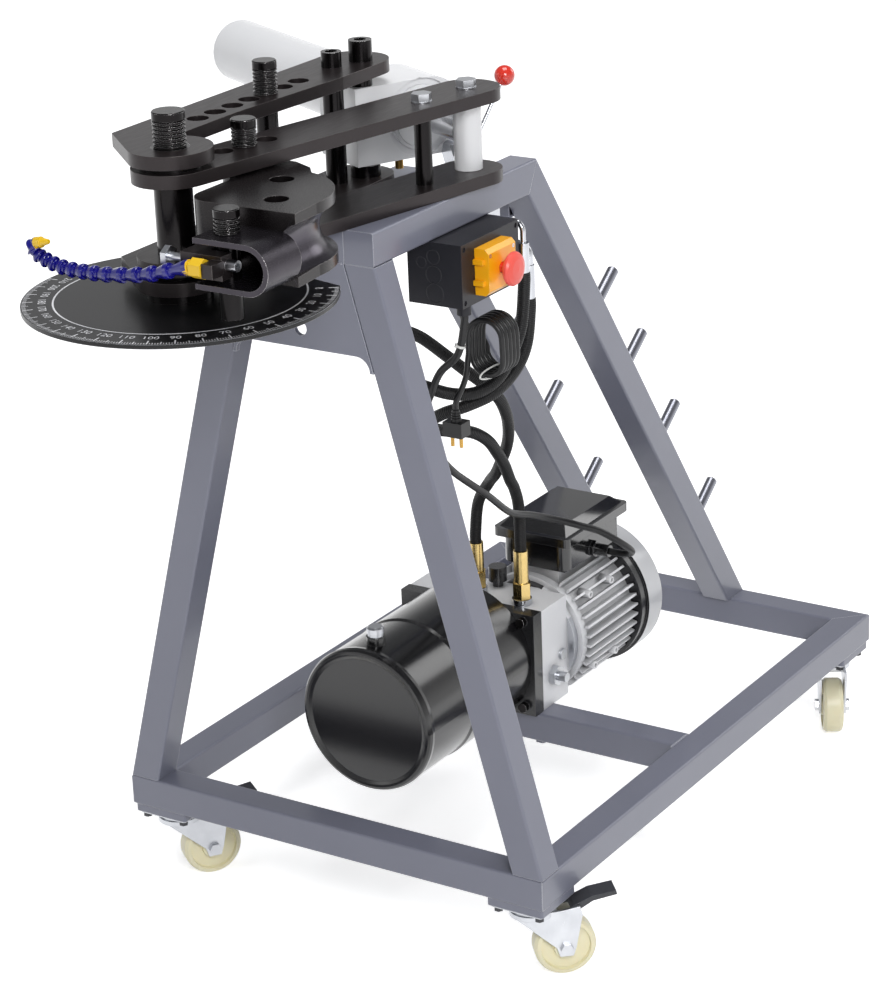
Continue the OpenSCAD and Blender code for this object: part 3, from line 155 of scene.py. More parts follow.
lamp_aim = Vector((0, 0, 0.55))
for name, place, size, power in (
    ("lamp_key", (2.6, -2.6, 2.6), 1.6, 88),
    ("lamp_left", (-2.8, -2.6, 1.8), 1.8, 10),
    ("lamp_over", (0.2, 0.2, 3.4), 1.6, 40),
    ("lamp_back", (1.6, 3.4, 2.4), 1.8, 24),
):
    lamp = bpy.data.lights.new(name, "AREA")
    lamp.energy, lamp.size, lamp.shape = power, size, "DISK"
    holder = bpy.data.objects.new(name, lamp)
    holder.location = place
    holder.rotation_mode = "QUATERNION"
    holder.rotation_quaternion = (lamp_aim - Vector(place)).to_track_quat("-Z", "Y")
    scene.collection.objects.link(holder)

# Hydraulic hoses: two rubber hoses with a woven steel layer and a fine ribbed wrap. Each
# hangs from a crimped sleeve under the ring and ends in a yellow crimp on the pump block.
# Places are given as in the drawing, in millimetres from the machine's left front corner.
ORIGIN_X, ORIGIN_Y = 247.757, 261.5


def at(x, y, z):
    """The scene's point for a place in the drawing."""
    return Vector(((x - ORIGIN_X) / 1000, (y - ORIGIN_Y) / 1000, z / 1000))


def smooth_line(points, steps):
    """A smooth curve through points, with so many steps from each to the next."""
    line = []
    last = len(points) - 1
    for i in range(last):
        a, b, c, d = points[max(i - 1, 0)], points[i], points[i + 1], points[min(i + 2, last)]
        for k in range(steps):
            t = k / steps
            line.append(0.5 * (2 * b + (c - a) * t + (2 * a - 5 * b + 4 * c - d) * t * t
                               + (3 * b - a - 3 * c + d) * t ** 3))
    return line + [points[-1]]


def direction(line, i):
    """The way that a line runs at its point i."""
    return (line[min(i + 1, len(line) - 1)] - line[max(i - 1, 0)]).normalized()


def piece_from(name, bm, *materials):
    """A scene object from a built mesh, with its materials."""
    mesh = bpy.data.meshes.new(name)
    bm.to_mesh(mesh)
    bm.free()
    piece = bpy.data.objects.new(name, mesh)
    for material in materials:
        mesh.materials.append(material)
    scene.collection.objects.link(piece)
    return piece


def sleeved_line(name, line, radius, sides, material):
    """Round skin along a line, with its length and girth in metres in the UV map."""
    bm = bmesh.new()
    uv = bm.loops.layers.uv.new("along_and_round")
    side = Vector((1, 0, 0)) if abs((line[1] - line[0]).normalized().x) < 0.8 else Vector((0, 1, 0))
    rings, run, runs = [], 0.0, []
    for i, p in enumerate(line):
        way = direction(line, i)
        side = (side - way * side.dot(way)).normalized()
        other = way.cross(side)
        run += (p - line[i - 1]).length if i else 0
        runs.append(run)
        rings.append([bm.verts.new(p + radius * (math.cos(a) * side + math.sin(a) * other))
                      for a in (2 * math.pi * k / sides for k in range(sides))])
    for i in range(len(rings) - 1):
        for k in range(sides):
            n = (k + 1) % sides
            face = bm.faces.new((rings[i][k], rings[i][n], rings[i + 1][n], rings[i + 1][k]))
            face.smooth = True
            corners = ((i, k), (i, k + 1), (i + 1, k + 1), (i + 1, k))
            for loop, (ring, v) in zip(face.loops, corners):
                loop[uv].uv = (runs[ring], v * 2 * math.pi * radius / sides)
    bm.faces.new(list(reversed(rings[0])))
    bm.faces.new(rings[-1])
    return piece_from(name, bm, material)


def start_material(name):
    """A new material, its node tree and its surface node."""
    made = bpy.data.materials.new(name)
    made.use_nodes = True
    return made, made.node_tree, made.node_tree.nodes["Principled BSDF"]


# Synthetic rubber, wrap-cured in a ribbed cloth: soft black with fine rings 2.4 mm apart
# and a little dust in them. The texture draws 20 bands in 2 pi units.
wrap_pitch, bands_in_turn, dust_mm = 0.0024, 20, 4
hose_rubber, tree, face = start_material("wrapped_rubber")
place = add(tree, "UVMap", {"uv_map": "along_and_round"})
rings = add(tree, "TexWave", {"wave_type": "BANDS", "bands_direction": "X"},
            Vector=place.outputs[0], Scale=2 * math.pi / wrap_pitch / bands_in_turn,
            Distortion=0.4)
where = add(tree, "TexCoord")
dust = add(tree, "TexNoise", Vector=where.outputs["Object"], Scale=1000 / dust_mm, Detail=5.0)
tint = add(tree, "MixRGB", Fac=dust.outputs["Fac"], Color1="#0a0a0b", Color2="#161618")
rough = add(tree, "MapRange", Value=rings.outputs["Fac"], To_Min=0.38, To_Max=0.6)
bump = add(tree, "Bump", Height=rings.outputs["Fac"], Distance=0.0006, Strength=0.8)
fill(face, Base_Color=tint.outputs[0], Roughness=rough.outputs[0], Normal=bump.outputs[0],
     Specular_IOR_Level=0.3)

PRESSURE = [(437, 276, 758), (437, 276, 744), (434, 271, 702), (430, 251, 675), (423, 214, 657),
            (401, 189, 645), (372, 181, 633), (344, 190, 615), (330, 213, 598), (331, 245, 584),
            (347, 278, 574), (355, 302, 557), (353, 326, 533), (350, 348, 508), (345, 368, 481),
            (336, 392, 460), (328, 414, 427), (326, 419, 378), (326, 419, 364)]
RETURN = [(446, 250, 798), (446, 250, 784), (441, 249, 733), (434, 238, 701), (430, 214, 677),
          (416, 189, 664), (396, 164, 666), (376, 136, 681), (349, 121, 694), (319, 123, 706),
          (296, 143, 718), (286, 174, 723), (292, 205, 719), (310, 228, 706), (339, 240, 683),
          (358, 250, 665), (375, 269, 642), (381, 290, 619), (377, 311, 594), (367, 332, 571),
          (355, 351, 546), (340, 368, 521), (323, 381, 495), (306, 396, 473), (284, 416, 452),
          (260, 426, 417), (254, 426, 374), (254, 426, 360)]
hose_radius = 0.0075
for node, route in (("pressure_hose", PRESSURE), ("return_hose", RETURN)):
    line = smooth_line([at(*p) for p in route], steps=6)
    hose = sleeved_line(node + "_skin", line, hose_radius, 28, hose_rubber)
    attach(hose, "base")
    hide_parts(node)

# Motor cable and mains lead: PVC sheathed flex. The motor cable runs from the switch box
# to the terminal box. The mains lead is tied up in a hank under the box, with its plug
# hanging from it; the extruded sheath is smooth and a little shiny.
dust_mm = 2
cable_sheath, tree, face = start_material("extruded_pvc_sheath")
where = add(tree, "TexCoord")
dust = add(tree, "TexNoise", Vector=where.outputs["Object"], Scale=1000 / dust_mm, Detail=4.0)
tint = add(tree, "MixRGB", Fac=dust.outputs["Fac"], Color1="#0d0d0e", Color2="#1b1b1d")
rough = add(tree, "MapRange", Value=dust.outputs["Fac"], To_Min=0.26, To_Max=0.44)
fill(face, Base_Color=tint.outputs[0], Roughness=rough.outputs[0], Specular_IOR_Level=0.38)

CABLE = [(430, 142, 775), (430, 142, 766), (422, 139, 727), (400, 134, 703), (391, 127, 679),
         (379, 132, 655), (370, 147, 630), (365, 161, 607), (362, 177, 585), (361, 195, 564),
         (361, 215, 545), (361, 237, 528), (363, 259, 511), (365, 281, 494), (364, 303, 477),
         (362, 324, 461), (358, 348, 446), (356, 373, 435), (356, 399, 425), (360, 424, 414),
         (372, 445, 404), (389, 463, 394), (405, 486, 381), (421, 510, 360), (425, 533, 341),
         (413, 548, 329), (396, 552, 325), (382, 552, 325)]
cable_radius = 0.0045
line = smooth_line([at(*p) for p in CABLE], steps=6)
motor_flex = sleeved_line("motor_cable_skin", line, cable_radius, 20, cable_sheath)
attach(motor_flex, "base")
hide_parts("motor_cable")

# The hank's turns stand upright side by side, each with two straight sides and two round
# ends. The last one lies nearest to the machine's front.
HANK_X, HANK_Z, HANK_LAST_Y = 441, 728, 166
HANK_BEND, HANK_REACH, HANK_PITCH = 22, 34, 8
HANK_TURNS, POINTS_IN_TURN = 5, 18
straight = 2 * (HANK_REACH - HANK_BEND)
bend = math.pi * HANK_BEND


def hank_turn(turns):
    """Offset from the hank's middle after so many turns, down on the left and up on the right."""
    t = (turns - math.floor(turns)) * 2 * (straight + bend)
    if t < straight / 2:
        return -HANK_BEND, -t
    if t < straight / 2 + bend:
        a = math.pi + (t - straight / 2) / HANK_BEND
        return HANK_BEND * math.cos(a), -straight / 2 + HANK_BEND * math.sin(a)
    if t < straight * 1.5 + bend:
        return HANK_BEND, t - straight - bend
    if t < straight * 1.5 + 2 * bend:
        a = (t - straight * 1.5 - bend) / HANK_BEND
        return HANK_BEND * math.cos(a), straight / 2 + HANK_BEND * math.sin(a)
    return -HANK_BEND, 2 * (straight + bend) - t


lead = [(411, 166, 775), (411, 166, 771), (411, 168, 763), (410, 175, 752), (410, 189, 742),
        (412, 202, 732)]
for k in range(1, HANK_TURNS * POINTS_IN_TURN + 1):
    dx, dz = hank_turn(k / POINTS_IN_TURN)
    lead.append((HANK_X + dx, HANK_LAST_Y + HANK_PITCH * (HANK_TURNS - k / POINTS_IN_TURN),
                 HANK_Z + dz))
lead += [(419, 166, 720), (419, 163, 708), (419, 160, 696), (417, 156, 684), (414, 151, 673),
         (411, 148, 664), (410, 148, 659), (410, 148, 654)]
lead_radius = 0.0035
line = smooth_line([at(*p) for p in lead], steps=4)
mains_flex = sleeved_line("mains_lead_skin", line, lead_radius, 16, cable_sheath)
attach(mains_flex, "base")
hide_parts("mains_hank", "mains_lead")


# Welded frame: 40 mm square steel tube, mitred, welded and stoved in grey enamel. The
# enamel is satin, with a fine orange peel; a painted highlight lightens it along the edges.
def edge_light(tree, radius):
    """A normal rounded over the edges, and 0 on flat faces to 1 along sharp edges, from how
    far that normal leaves the true one; the materials paint a highlight where it is high."""
    soft = add(tree, "Bevel", {"samples": 4}, Radius=radius)
    true = add(tree, "NewGeometry")
    same = add(tree, "VectorMath", {"operation": "DOT_PRODUCT"}, i0=soft.outputs[0],
               i1=true.outputs["True Normal"])
    return soft, add(tree, "MapRange", Value=same.outputs["Value"], From_Min=0.995, From_Max=0.86,
                     To_Min=0.0, To_Max=1.0)


def enamel(name, base, low, edge, rough, peel_mm, depth_mm, edge_mm=1.2, highlight_share=0.55, coat=0.0,
           coat_rough=0.12, specular=0.5, cloud_mm=143):
    """Enamel whose colour drifts from low to base, with orange peel and a painted highlight
    in its edge colour along sharp edges."""
    made, tree, face = start_material(name)
    where = add(tree, "TexCoord")
    cloud = add(tree, "TexNoise", Vector=where.outputs["Object"], Scale=1000 / cloud_mm, Detail=4.0,
                Roughness=0.6)
    tint = add(tree, "MixRGB", Fac=cloud.outputs["Fac"], Color1=low, Color2=base)
    # The edge colour is mixed in as a painted highlight along sharp edges.
    soft, along = edge_light(tree, edge_mm / 1000)
    share = add(tree, "Math", {"operation": "MULTIPLY"}, i0=along.outputs[0], i1=highlight_share)
    edge_highlighted = add(tree, "MixRGB", Fac=share.outputs[0], Color1=tint.outputs[0], Color2=edge)
    peel = add(tree, "TexNoise", Vector=where.outputs["Object"], Scale=1000 / peel_mm, Detail=2.0)
    spread = add(tree, "MapRange", Value=peel.outputs["Fac"], To_Min=rough - 0.05,
                 To_Max=rough + 0.06)
    bump = add(tree, "Bump", Height=peel.outputs["Fac"], Distance=depth_mm / 1000, Strength=0.5,
               Normal=soft.outputs[0])
    fill(face, Base_Color=edge_highlighted.outputs[0], Roughness=spread.outputs[0], Normal=bump.outputs[0],
         Coat_Weight=coat, Coat_Roughness=coat_rough, Specular_IOR_Level=specular)
    return made


def dress(material, *nodes):
    """Gives whole nodes one material."""
    for name in nodes:
        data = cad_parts[name].data
        data.materials.clear()
        data.materials.append(material)


def dress_part(node, material, inside):
    """Gives a node's faces another material where their middle passes a test in the drawing."""
    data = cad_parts[node].data
    data.materials.append(material)
    for face in data.polygons:
        c = face.center
        if inside(c.x * 1000 + ORIGIN_X, c.y * 1000 + ORIGIN_Y, c.z * 1000):
            face.material_index = len(data.materials) - 1


# The pale edge colour is a painted highlight along the tubes' edges.
frame_enamel = enamel("stoved_grey_enamel", "#797b89", "#6f7180", "#cfd0d9", 0.34, 1.6, 0.04,
                      edge_mm=1.6, highlight_share=0.75, coat=0.3)
dress(frame_enamel, "front_tube", "rear_tube", "side_rail_left", "side_rail_right", "middle_tube",
      "front_leg_left", "front_leg_right", "rear_leg_left", "rear_leg_right", "ring_rail_left",
      "ring_rail_right", "ring_rear_tube", "apron_plate")


def weld_bead(name, corners, width_mm):
    """Row of overlapping ripples along a joint, as a hand weld leaves them."""
    ripple, sides = 0.0018, 10
    line = []
    for a, b in zip(corners, corners[1:]):
        steps = max(2, int((b - a).length / ripple))
        line += [a.lerp(b, k / steps) for k in range(steps)]
    line.append(corners[-1])
    bm = bmesh.new()
    rings = []
    for i, p in enumerate(line):
        way = direction(line, i)
        side = way.orthogonal().normalized()
        taper = 0.55 if i in (0, len(line) - 1) else 1
        r = width_mm / 2000 * (0.80 + 0.20 * abs(math.sin(i * 1.1))) * taper
        rings.append([bm.verts.new(p + r * (math.cos(a) * side + math.sin(a) * way.cross(side)))
                      for a in (2 * math.pi * k / sides for k in range(sides))])
    for one, two in zip(rings, rings[1:]):
        for k in range(sides):
            n = (k + 1) % sides
            bm.faces.new((one[k], one[n], two[n], two[k])).smooth = True
    bm.faces.new(list(reversed(rings[0])))
    bm.faces.new(rings[-1])
    bead = piece_from(name, bm, frame_enamel)
    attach(bead, "base")


base_top, middle_tube_y, ring_low, apron_x = 150, (388, 432), 865, (250, 362)
for side, rail_x in (("right", 559.5), ("left", 40.5)):
    weld_bead("weld_middle_" + side, [at(rail_x, y, base_top - 0.5) for y in middle_tube_y], 4)
weld_bead("weld_apron_low", [at(x, 0.4, ring_low) for x in apron_x], 3.5)


# Die pegs, forks and bolts. The pegs are cold drawn steel, left bare; the others are pressed
# steel, zinc plated to a cool light grey. Both are slightly cloudy, with fine drawing lines.
def plated(name, base, low, rough, line_mm, edge_mm=0.5, along=(1.0, 1.0, 0.08), cloud_mm=22.2):
    """Bright metal whose colour drifts from low to base, with fine lines."""
    made, tree, face = start_material(name)
    where = add(tree, "TexCoord")
    drawn = add(tree, "Mapping", Vector=where.outputs["Object"], Scale=along)
    lines = add(tree, "TexNoise", Vector=drawn.outputs[0], Scale=1000 / line_mm, Detail=3.0)
    cloud = add(tree, "TexNoise", Vector=where.outputs["Object"], Scale=1000 / cloud_mm, Detail=3.0)
    tint = add(tree, "MixRGB", Fac=cloud.outputs["Fac"], Color1=low, Color2=base)
    spread = add(tree, "MapRange", Value=lines.outputs["Fac"], To_Min=rough - 0.07,
                 To_Max=rough + 0.09)
    soft = add(tree, "Bevel", {"samples": 4}, Radius=edge_mm / 1000)
    bump = add(tree, "Bump", Height=lines.outputs["Fac"], Distance=0.00003, Strength=0.5,
               Normal=soft.outputs[0])
    fill(face, Base_Color=tint.outputs[0], Metallic=1.0, Roughness=spread.outputs[0],
         Normal=bump.outputs[0])
    return made


zinc = plated("bright_zinc_plate", "#d4d6da", "#b4b6bb", 0.30, 0.8)
peg_steel = plated("cold_drawn_peg_steel", "#96979f", "#7f8089", 0.34, 0.8, along=(1.0, 1.0, 1.0))
dress(peg_steel, "die_pegs")
dress(zinc, "caster_plates", "plate_bolts", "caster_fork_fl", "caster_fork_fr", "caster_fork_rl",
      "caster_fork_rr", "filler_cap")

# Wheels and brakes: nylon wheels, injection moulded, cream and slightly translucent, and
# pressed steel pedals, dipped black. The bolts of the casters' plates are black too.
cloud_mm, grain_mm = 33.3, 1.11
nylon, tree, face = start_material("moulded_cream_nylon")
where = add(tree, "TexCoord")
cloud = add(tree, "TexNoise", Vector=where.outputs["Object"], Scale=1000 / cloud_mm, Detail=4.0)
tint = add(tree, "MixRGB", Fac=cloud.outputs["Fac"], Color1="#e8e0b8", Color2="#f5efd2")
grain = add(tree, "TexNoise", Vector=where.outputs["Object"], Scale=1000 / grain_mm, Detail=2.0)
bump = add(tree, "Bump", Height=grain.outputs["Fac"], Distance=0.00004, Strength=0.5)
fill(face, Base_Color=tint.outputs[0], Normal=bump.outputs[0], Roughness=0.36,
     Subsurface_Weight=0.12, Subsurface_Radius=(0.004, 0.003, 0.002))
dress(nylon, "caster_wheel_fl", "caster_wheel_fr", "caster_wheel_rl", "caster_wheel_rr")
# The pedals' grey edge colour is a painted highlight along their edges.
pedal_steel = enamel("dipped_black_steel", "#3a3b40", "#2c2d31", "#7a7c82", 0.42, 1.2, 0.03,
                     edge_mm=0.8)
dress(pedal_steel, "brake_pedal_fl", "brake_pedal_fr")
swivels = ((40, 40), (560, 40), (40, 850), (560, 850))
bolts_low, bolts_high, race_radius = 90, 96, 31
dress_part("caster_plates", pedal_steel,
           lambda x, y, z: bolts_low < z < bolts_high
           and min(math.hypot(x - a, y - b) for a, b in swivels) > race_radius)


# Head plates: flame-cut 15 mm steel plate, ground and oiled over its dark mill scale. The
# flat faces show grinding lines along the plate; a painted highlight makes the edges paler.
def scaled_steel(name, base, low, edge, rough, metallic=0.55, line_mm=1.4, along=(1.0, 0.05, 1.0),
                 edge_mm=0.9, highlight_share=0.7, cloud_mm=62.5):
    """Dark steel whose colour drifts from low to base, with fine lines and painted edge highlights."""
    made, tree, face = start_material(name)
    where = add(tree, "TexCoord")
    cloud = add(tree, "TexNoise", Vector=where.outputs["Object"], Scale=1000 / cloud_mm, Detail=6.0,
                Roughness=0.62)
    tint = add(tree, "MixRGB", Fac=cloud.outputs["Fac"], Color1=low, Color2=base)
    # The edge colour is mixed in as a painted highlight along sharp edges.
    soft, edge_highlight_mask = edge_light(tree, edge_mm / 1000)
    share = add(tree, "Math", {"operation": "MULTIPLY"}, i0=edge_highlight_mask.outputs[0], i1=highlight_share)
    edge_highlighted = add(tree, "MixRGB", Fac=share.outputs[0], Color1=tint.outputs[0], Color2=edge)
    ground = add(tree, "Mapping", Vector=where.outputs["Object"], Scale=along)
    lines = add(tree, "TexNoise", Vector=ground.outputs[0], Scale=1000 / line_mm, Detail=4.0)
    spread = add(tree, "MapRange", Value=lines.outputs["Fac"], To_Min=rough - 0.08,
                 To_Max=rough + 0.10)
    bump = add(tree, "Bump", Height=lines.outputs["Fac"], Distance=0.00006, Strength=0.6,
               Normal=soft.outputs[0])
    fill(face, Base_Color=edge_highlighted.outputs[0], Metallic=metallic, Roughness=spread.outputs[0],
         Normal=bump.outputs[0])
    return made


plate_steel = scaled_steel("oiled_mill_scale_plate", "#352f30", "#262122", "#7d7775", 0.33)
dress(plate_steel, "fixed_plates", "swing_plates", "strap_block")

# The strap block's bolt and set screw stand out of its two sides, zinc plated.
block_left, block_right, bolt_front, bolt_back = 371.6, 424.2, -306, -285
dress_part("strap_block", zinc, lambda x, y, z: not block_left <= x <= block_right
           and bolt_front < y < bolt_back)

# Pins and the pivot tube: turned steel, blackened in oil, smooth and glossy between the
# ribs of the grips. Their pale edge colour is a painted highlight along ribs and rims.
black_oxide = scaled_steel("oil_blackened_steel", "#1d1a1b", "#121011", "#c2c0c0", 0.17,
                           metallic=0.75, line_mm=0.5, along=(0.1, 0.1, 1.0), edge_mm=0.5,
                           highlight_share=0.85)
dress(black_oxide, "main_pin", "counter_die_pin", "die_pin", "strap_pin", "swing_pins",
      "plate_spacers")

# Bending die and strap: cast steel, turned, with a groove that the tube slides in, worn
# smooth and dark; the groove is a lighter grey than the die as painted light on its curved
# face, and the die's pale edge colour is a painted highlight. The strap is bent from flat
# steel, with a painted highlight that brightens its edges.
die_steel = scaled_steel("cast_black_die", "#252122", "#181516", "#7f7a7a", 0.26, metallic=0.6,
                         line_mm=0.9, along=(1.0, 1.0, 1.0), edge_mm=1.0, highlight_share=0.75)
groove_steel_painted_lit = scaled_steel("worn_groove_painted_lit", "#56525a", "#3c393f", "#b9b6b6", 0.22,
                            metallic=0.9, line_mm=0.6, along=(1.0, 1.0, 0.1), edge_mm=0.6,
                            highlight_share=0.6)
strap_steel = scaled_steel("bent_strap_painted_edge_highlight", "#4b474d", "#333036", "#d6d3d3", 0.24,
                           metallic=0.85, line_mm=0.7, along=(0.1, 1.0, 1.0), edge_mm=0.7,
                           highlight_share=0.85)
dress(die_steel, "bending_die")
die_x, die_y, groove_low, groove_high = 375, -195, 931, 987
groove_floor, die_edge = 78, 97.8


def in_groove(x, y, z):
    """Whether a place lies in the groove, which runs round the die and then straight on."""
    out = math.hypot(x - die_x, y - die_y) if y > die_y else x - die_x
    return groove_low < z < groove_high and groove_floor < out < die_edge


dress_part("bending_die", groove_steel_painted_lit, in_groove)
dress(strap_steel, "tube_strap")

# Degree disc: 5 mm steel disc, painted black and printed white, its turned rim lit by a
# painted highlight along the edges.
# The ring, the ticks and the numbers are plain print that lies on the paint.
disc_paint = enamel("printed_black_disc", "#151517", "#0d0d0f", "#c9cacf", 0.30, 1.0, 0.02,
                    edge_mm=1.0, highlight_share=0.9, specular=0.32)
dress(disc_paint, "degree_disc")
speck_mm = 1
print_white, tree, face = start_material("screen_print_white")
where = add(tree, "TexCoord")
speck = add(tree, "TexNoise", Vector=where.outputs["Object"], Scale=1000 / speck_mm, Detail=3.0)
tint = add(tree, "MixRGB", Fac=speck.outputs["Fac"], Color1="#d9dade", Color2="#f4f4f6")
fill(face, Base_Color=tint.outputs[0], Roughness=0.5)

# The zero mark lies 35 degrees round from the machine's right, towards its back, and the
# numbers run clockwise from it, seen from above.
PRINT_MIDDLE = at(285, -195, 873.15)
ZERO_MARK, LAST_MARK = 35, 210
RING_INNER, RING_OUTER, RING_FROM, RING_TO = 0.1360, 0.1380, 56, -246
TICK_OUTER, TICK_MIDDLE, NUMBER_RADIUS, NUMBER_SIZE = 0.1705, 0.17, 0.1495, 0.0125


def flat_arc(bm, r0, r1, a0, a1, steps):
    """A flat strip of print between two radii and two angles."""
    pairs = []
    for k in range(steps + 1):
        a = a0 + (a1 - a0) * k / steps
        way = Vector((math.cos(a), math.sin(a), 0))
        pairs.append((bm.verts.new(PRINT_MIDDLE + way * r0), bm.verts.new(PRINT_MIDDLE + way * r1)))
    for one, two in zip(pairs, pairs[1:]):
        bm.faces.new((one[0], one[1], two[1], two[0]))


bm = bmesh.new()
flat_arc(bm, RING_INNER, RING_OUTER, math.radians(RING_FROM), math.radians(RING_TO),
         steps=200)
for degrees in range(LAST_MARK + 1):
    a = math.radians(ZERO_MARK - degrees)
    if degrees % 10 == 0:
        inner, wide = 0.159, 0.0016
    elif degrees % 5 == 0:
        inner, wide = 0.163, 0.0012
    else:
        inner, wide = 0.166, 0.0008
    half = wide / (2 * TICK_MIDDLE)
    flat_arc(bm, inner, TICK_OUTER, a - half, a + half, steps=1)
bmesh.ops.recalc_face_normals(bm, faces=bm.faces)
for f in bm.faces:
    if f.normal.z < 0:
        f.normal_flip()
dial = piece_from("disc_ring_and_ticks", bm, print_white)
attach(dial, "base")

digits = []
for degrees in range(0, LAST_MARK + 1, 10):
    a = math.radians(ZERO_MARK - degrees)
    text = bpy.data.curves.new("number_%d" % degrees, "FONT")
    text.body = str(degrees)
    text.size = NUMBER_SIZE
    text.align_x = text.align_y = "CENTER"
    text.resolution_u = 4
    digit = bpy.data.objects.new("number_%d" % degrees, text)
    digit.location = PRINT_MIDDLE + Vector((math.cos(a), math.sin(a), 0)) * NUMBER_RADIUS
    digit.rotation_euler = (0, 0, a + math.pi / 2)
    scene.collection.objects.link(digit)
    digits.append(digit)
bpy.context.view_layer.update()
graph = bpy.context.evaluated_depsgraph_get()
bm = bmesh.new()
for digit in digits:
    flat = bpy.data.meshes.new_from_object(digit.evaluated_get(graph))
    flat.transform(digit.matrix_world)
    bm.from_mesh(flat)
    bpy.data.meshes.remove(flat)
    bpy.data.objects.remove(digit)
numbers = piece_from("disc_numbers", bm, print_white)
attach(numbers, "base")

# Cylinder: honed steel barrel and a welded steel head block, sprayed in a pale grey
# machine enamel, which also covers the rod's eye; the rod is ground and hard chromed.
# Its whiter edge colour is a painted highlight along the edges.
machine_enamel = enamel("pale_machine_enamel", "#f1f1f3", "#e8e9eb", "#f3f3f4", 0.30, 1.8, 0.03,
                        coat=0.3)
dress(machine_enamel, "cylinder_barrel", "cylinder_head")
hard_chrome = plated("ground_hard_chrome", "#dcdde0", "#c9cacd", 0.22, 0.5, along=(1.0, 1.0, 0.1))
dress(hard_chrome, "cylinder_rod")
eye_x, eye_y, eye_radius = 385, 234, 17
dress_part("cylinder_rod", machine_enamel,
           lambda x, y, z: math.hypot(x - eye_x, y - eye_y) < eye_radius)

# Ball valve and its lever: nickel plated, with a blue enamelled body in front, a brass
# plug under the head block and a moulded red ball.
bright_nickel = plated("nickel_plated_valve", "#c8cacf", "#a9abb0", 0.16, 0.6)
dress(bright_nickel, "ball_valve", "valve_lever")
# Its light blue edge colour is a painted highlight along the edges.
blue_body = enamel("blue_valve_enamel", "#1f4fae", "#183f93", "#5d84d0", 0.28, 1.0, 0.03,
                   edge_mm=0.6, coat=0.4)
brass = plated("turned_brass", "#c9a25c", "#a8823f", 0.28, 0.6)
across_way = Vector((-0.4509, -0.8926))


def across(x, y):
    """Distance to the side of the cylinder's axis; the valve hangs on the minus side."""
    return Vector((x - eye_x, y - eye_y)).dot(across_way)


blue_from, plug_top = -42.3, 914
dress_part("ball_valve", blue_body, lambda x, y, z: across(x, y) < blue_from)
dress_part("ball_valve", brass, lambda x, y, z: z < plug_top and across(x, y) > 0)
cloud_mm = 2
red_ball, tree, face = start_material("moulded_red_knob")
where = add(tree, "TexCoord")
cloud = add(tree, "TexNoise", Vector=where.outputs["Object"], Scale=1000 / cloud_mm, Detail=3.0)
tint = add(tree, "MixRGB", Fac=cloud.outputs["Fac"], Color1="#cf2a1c", Color2="#e23a28")
fill(face, Base_Color=tint.outputs[0], Roughness=0.18, Coat_Weight=0.5, Coat_Roughness=0.06)
ball_low = 980
dress_part("valve_lever", red_ball, lambda x, y, z: z > ball_low)

# Oil tank: a drawn steel drum, dipped in gloss black enamel, flanged to the pump block. The
# enamel mirrors the lamps softly; a small step runs round it where the two shells meet.
# The tank's grey edge colour is a painted highlight along its rims.
gloss_black = enamel("gloss_black_enamel", "#0e0d10", "#09080a", "#3a3a40", 0.20, 4.0, 0.02,
                     edge_mm=1.6, highlight_share=0.4, coat=0.45, coat_rough=0.20)
dress(gloss_black, "oil_tank")


# Pump block and motor: die-cast aluminium, fins as cast and tumbled. The casting is pale
# and finely grained; painted shade darkens it in the gaps between the fins.
def cast(name, base, low, rough, cloud_mm=40, grain_mm=1.25):
    """Cast metal whose colour drifts from low to base, with painted shade in its hollows."""
    made, tree, face = start_material(name)
    where = add(tree, "TexCoord")
    cloud = add(tree, "TexNoise", Vector=where.outputs["Object"], Scale=1000 / cloud_mm, Detail=6.0)
    tint = add(tree, "MixRGB", Fac=cloud.outputs["Fac"], Color1=low, Color2=base)
    # Painted shade: ambient occlusion darkens the colour in hollows.
    hollow = add(tree, "AmbientOcclusion", {"samples": 4}, Distance=0.012)
    painted_hollow_shade = add(tree, "MapRange", Value=hollow.outputs["AO"], From_Min=0.35, From_Max=0.9,
                To_Min=0.45, To_Max=1.0)
    shade = add(tree, "MixRGB", {"blend_type": "MULTIPLY"}, Fac=1.0, Color1=tint.outputs[0],
                Color2=painted_hollow_shade.outputs[0])
    grain = add(tree, "TexNoise", Vector=where.outputs["Object"], Scale=1000 / grain_mm, Detail=3.0)
    spread = add(tree, "MapRange", Value=grain.outputs["Fac"], To_Min=rough - 0.08,
                 To_Max=rough + 0.1)
    soft = add(tree, "Bevel", {"samples": 4}, Radius=0.0008)
    bump = add(tree, "Bump", Height=grain.outputs["Fac"], Distance=0.00012, Strength=0.6,
               Normal=soft.outputs[0])
    fill(face, Base_Color=shade.outputs[0], Metallic=0.18, Roughness=spread.outputs[0],
         Normal=bump.outputs[0])
    return made


cast_alloy = cast("tumbled_cast_aluminium", "#f4f4f6", "#e6e7ea", 0.40)
dress(cast_alloy, "pump_block", "motor_body")

# The pump block's flange and the relief valve's knob are satin black, its side plugs are
# zinc plated, and the two bolts through the flange are oil blackened.
# Its grey edge colour is a painted highlight along the edges.
satin_black = enamel("satin_black_enamel", "#1b1b1e", "#131315", "#5a5a60", 0.28, 1.2, 0.03, coat=0.4)
block_front, block_right, block_top, bolt_front, bolt_left = 405.5, 363.3, 290.5, 384.5, 338
dress_part("pump_block", satin_black, lambda x, y, z: y < block_front)
dress_part("pump_block", satin_black, lambda x, y, z: z > block_top)
dress_part("pump_block", zinc, lambda x, y, z: x > block_right and y > block_front)
dress_part("pump_block", black_oxide, lambda x, y, z: y < bolt_front and x > bolt_left)


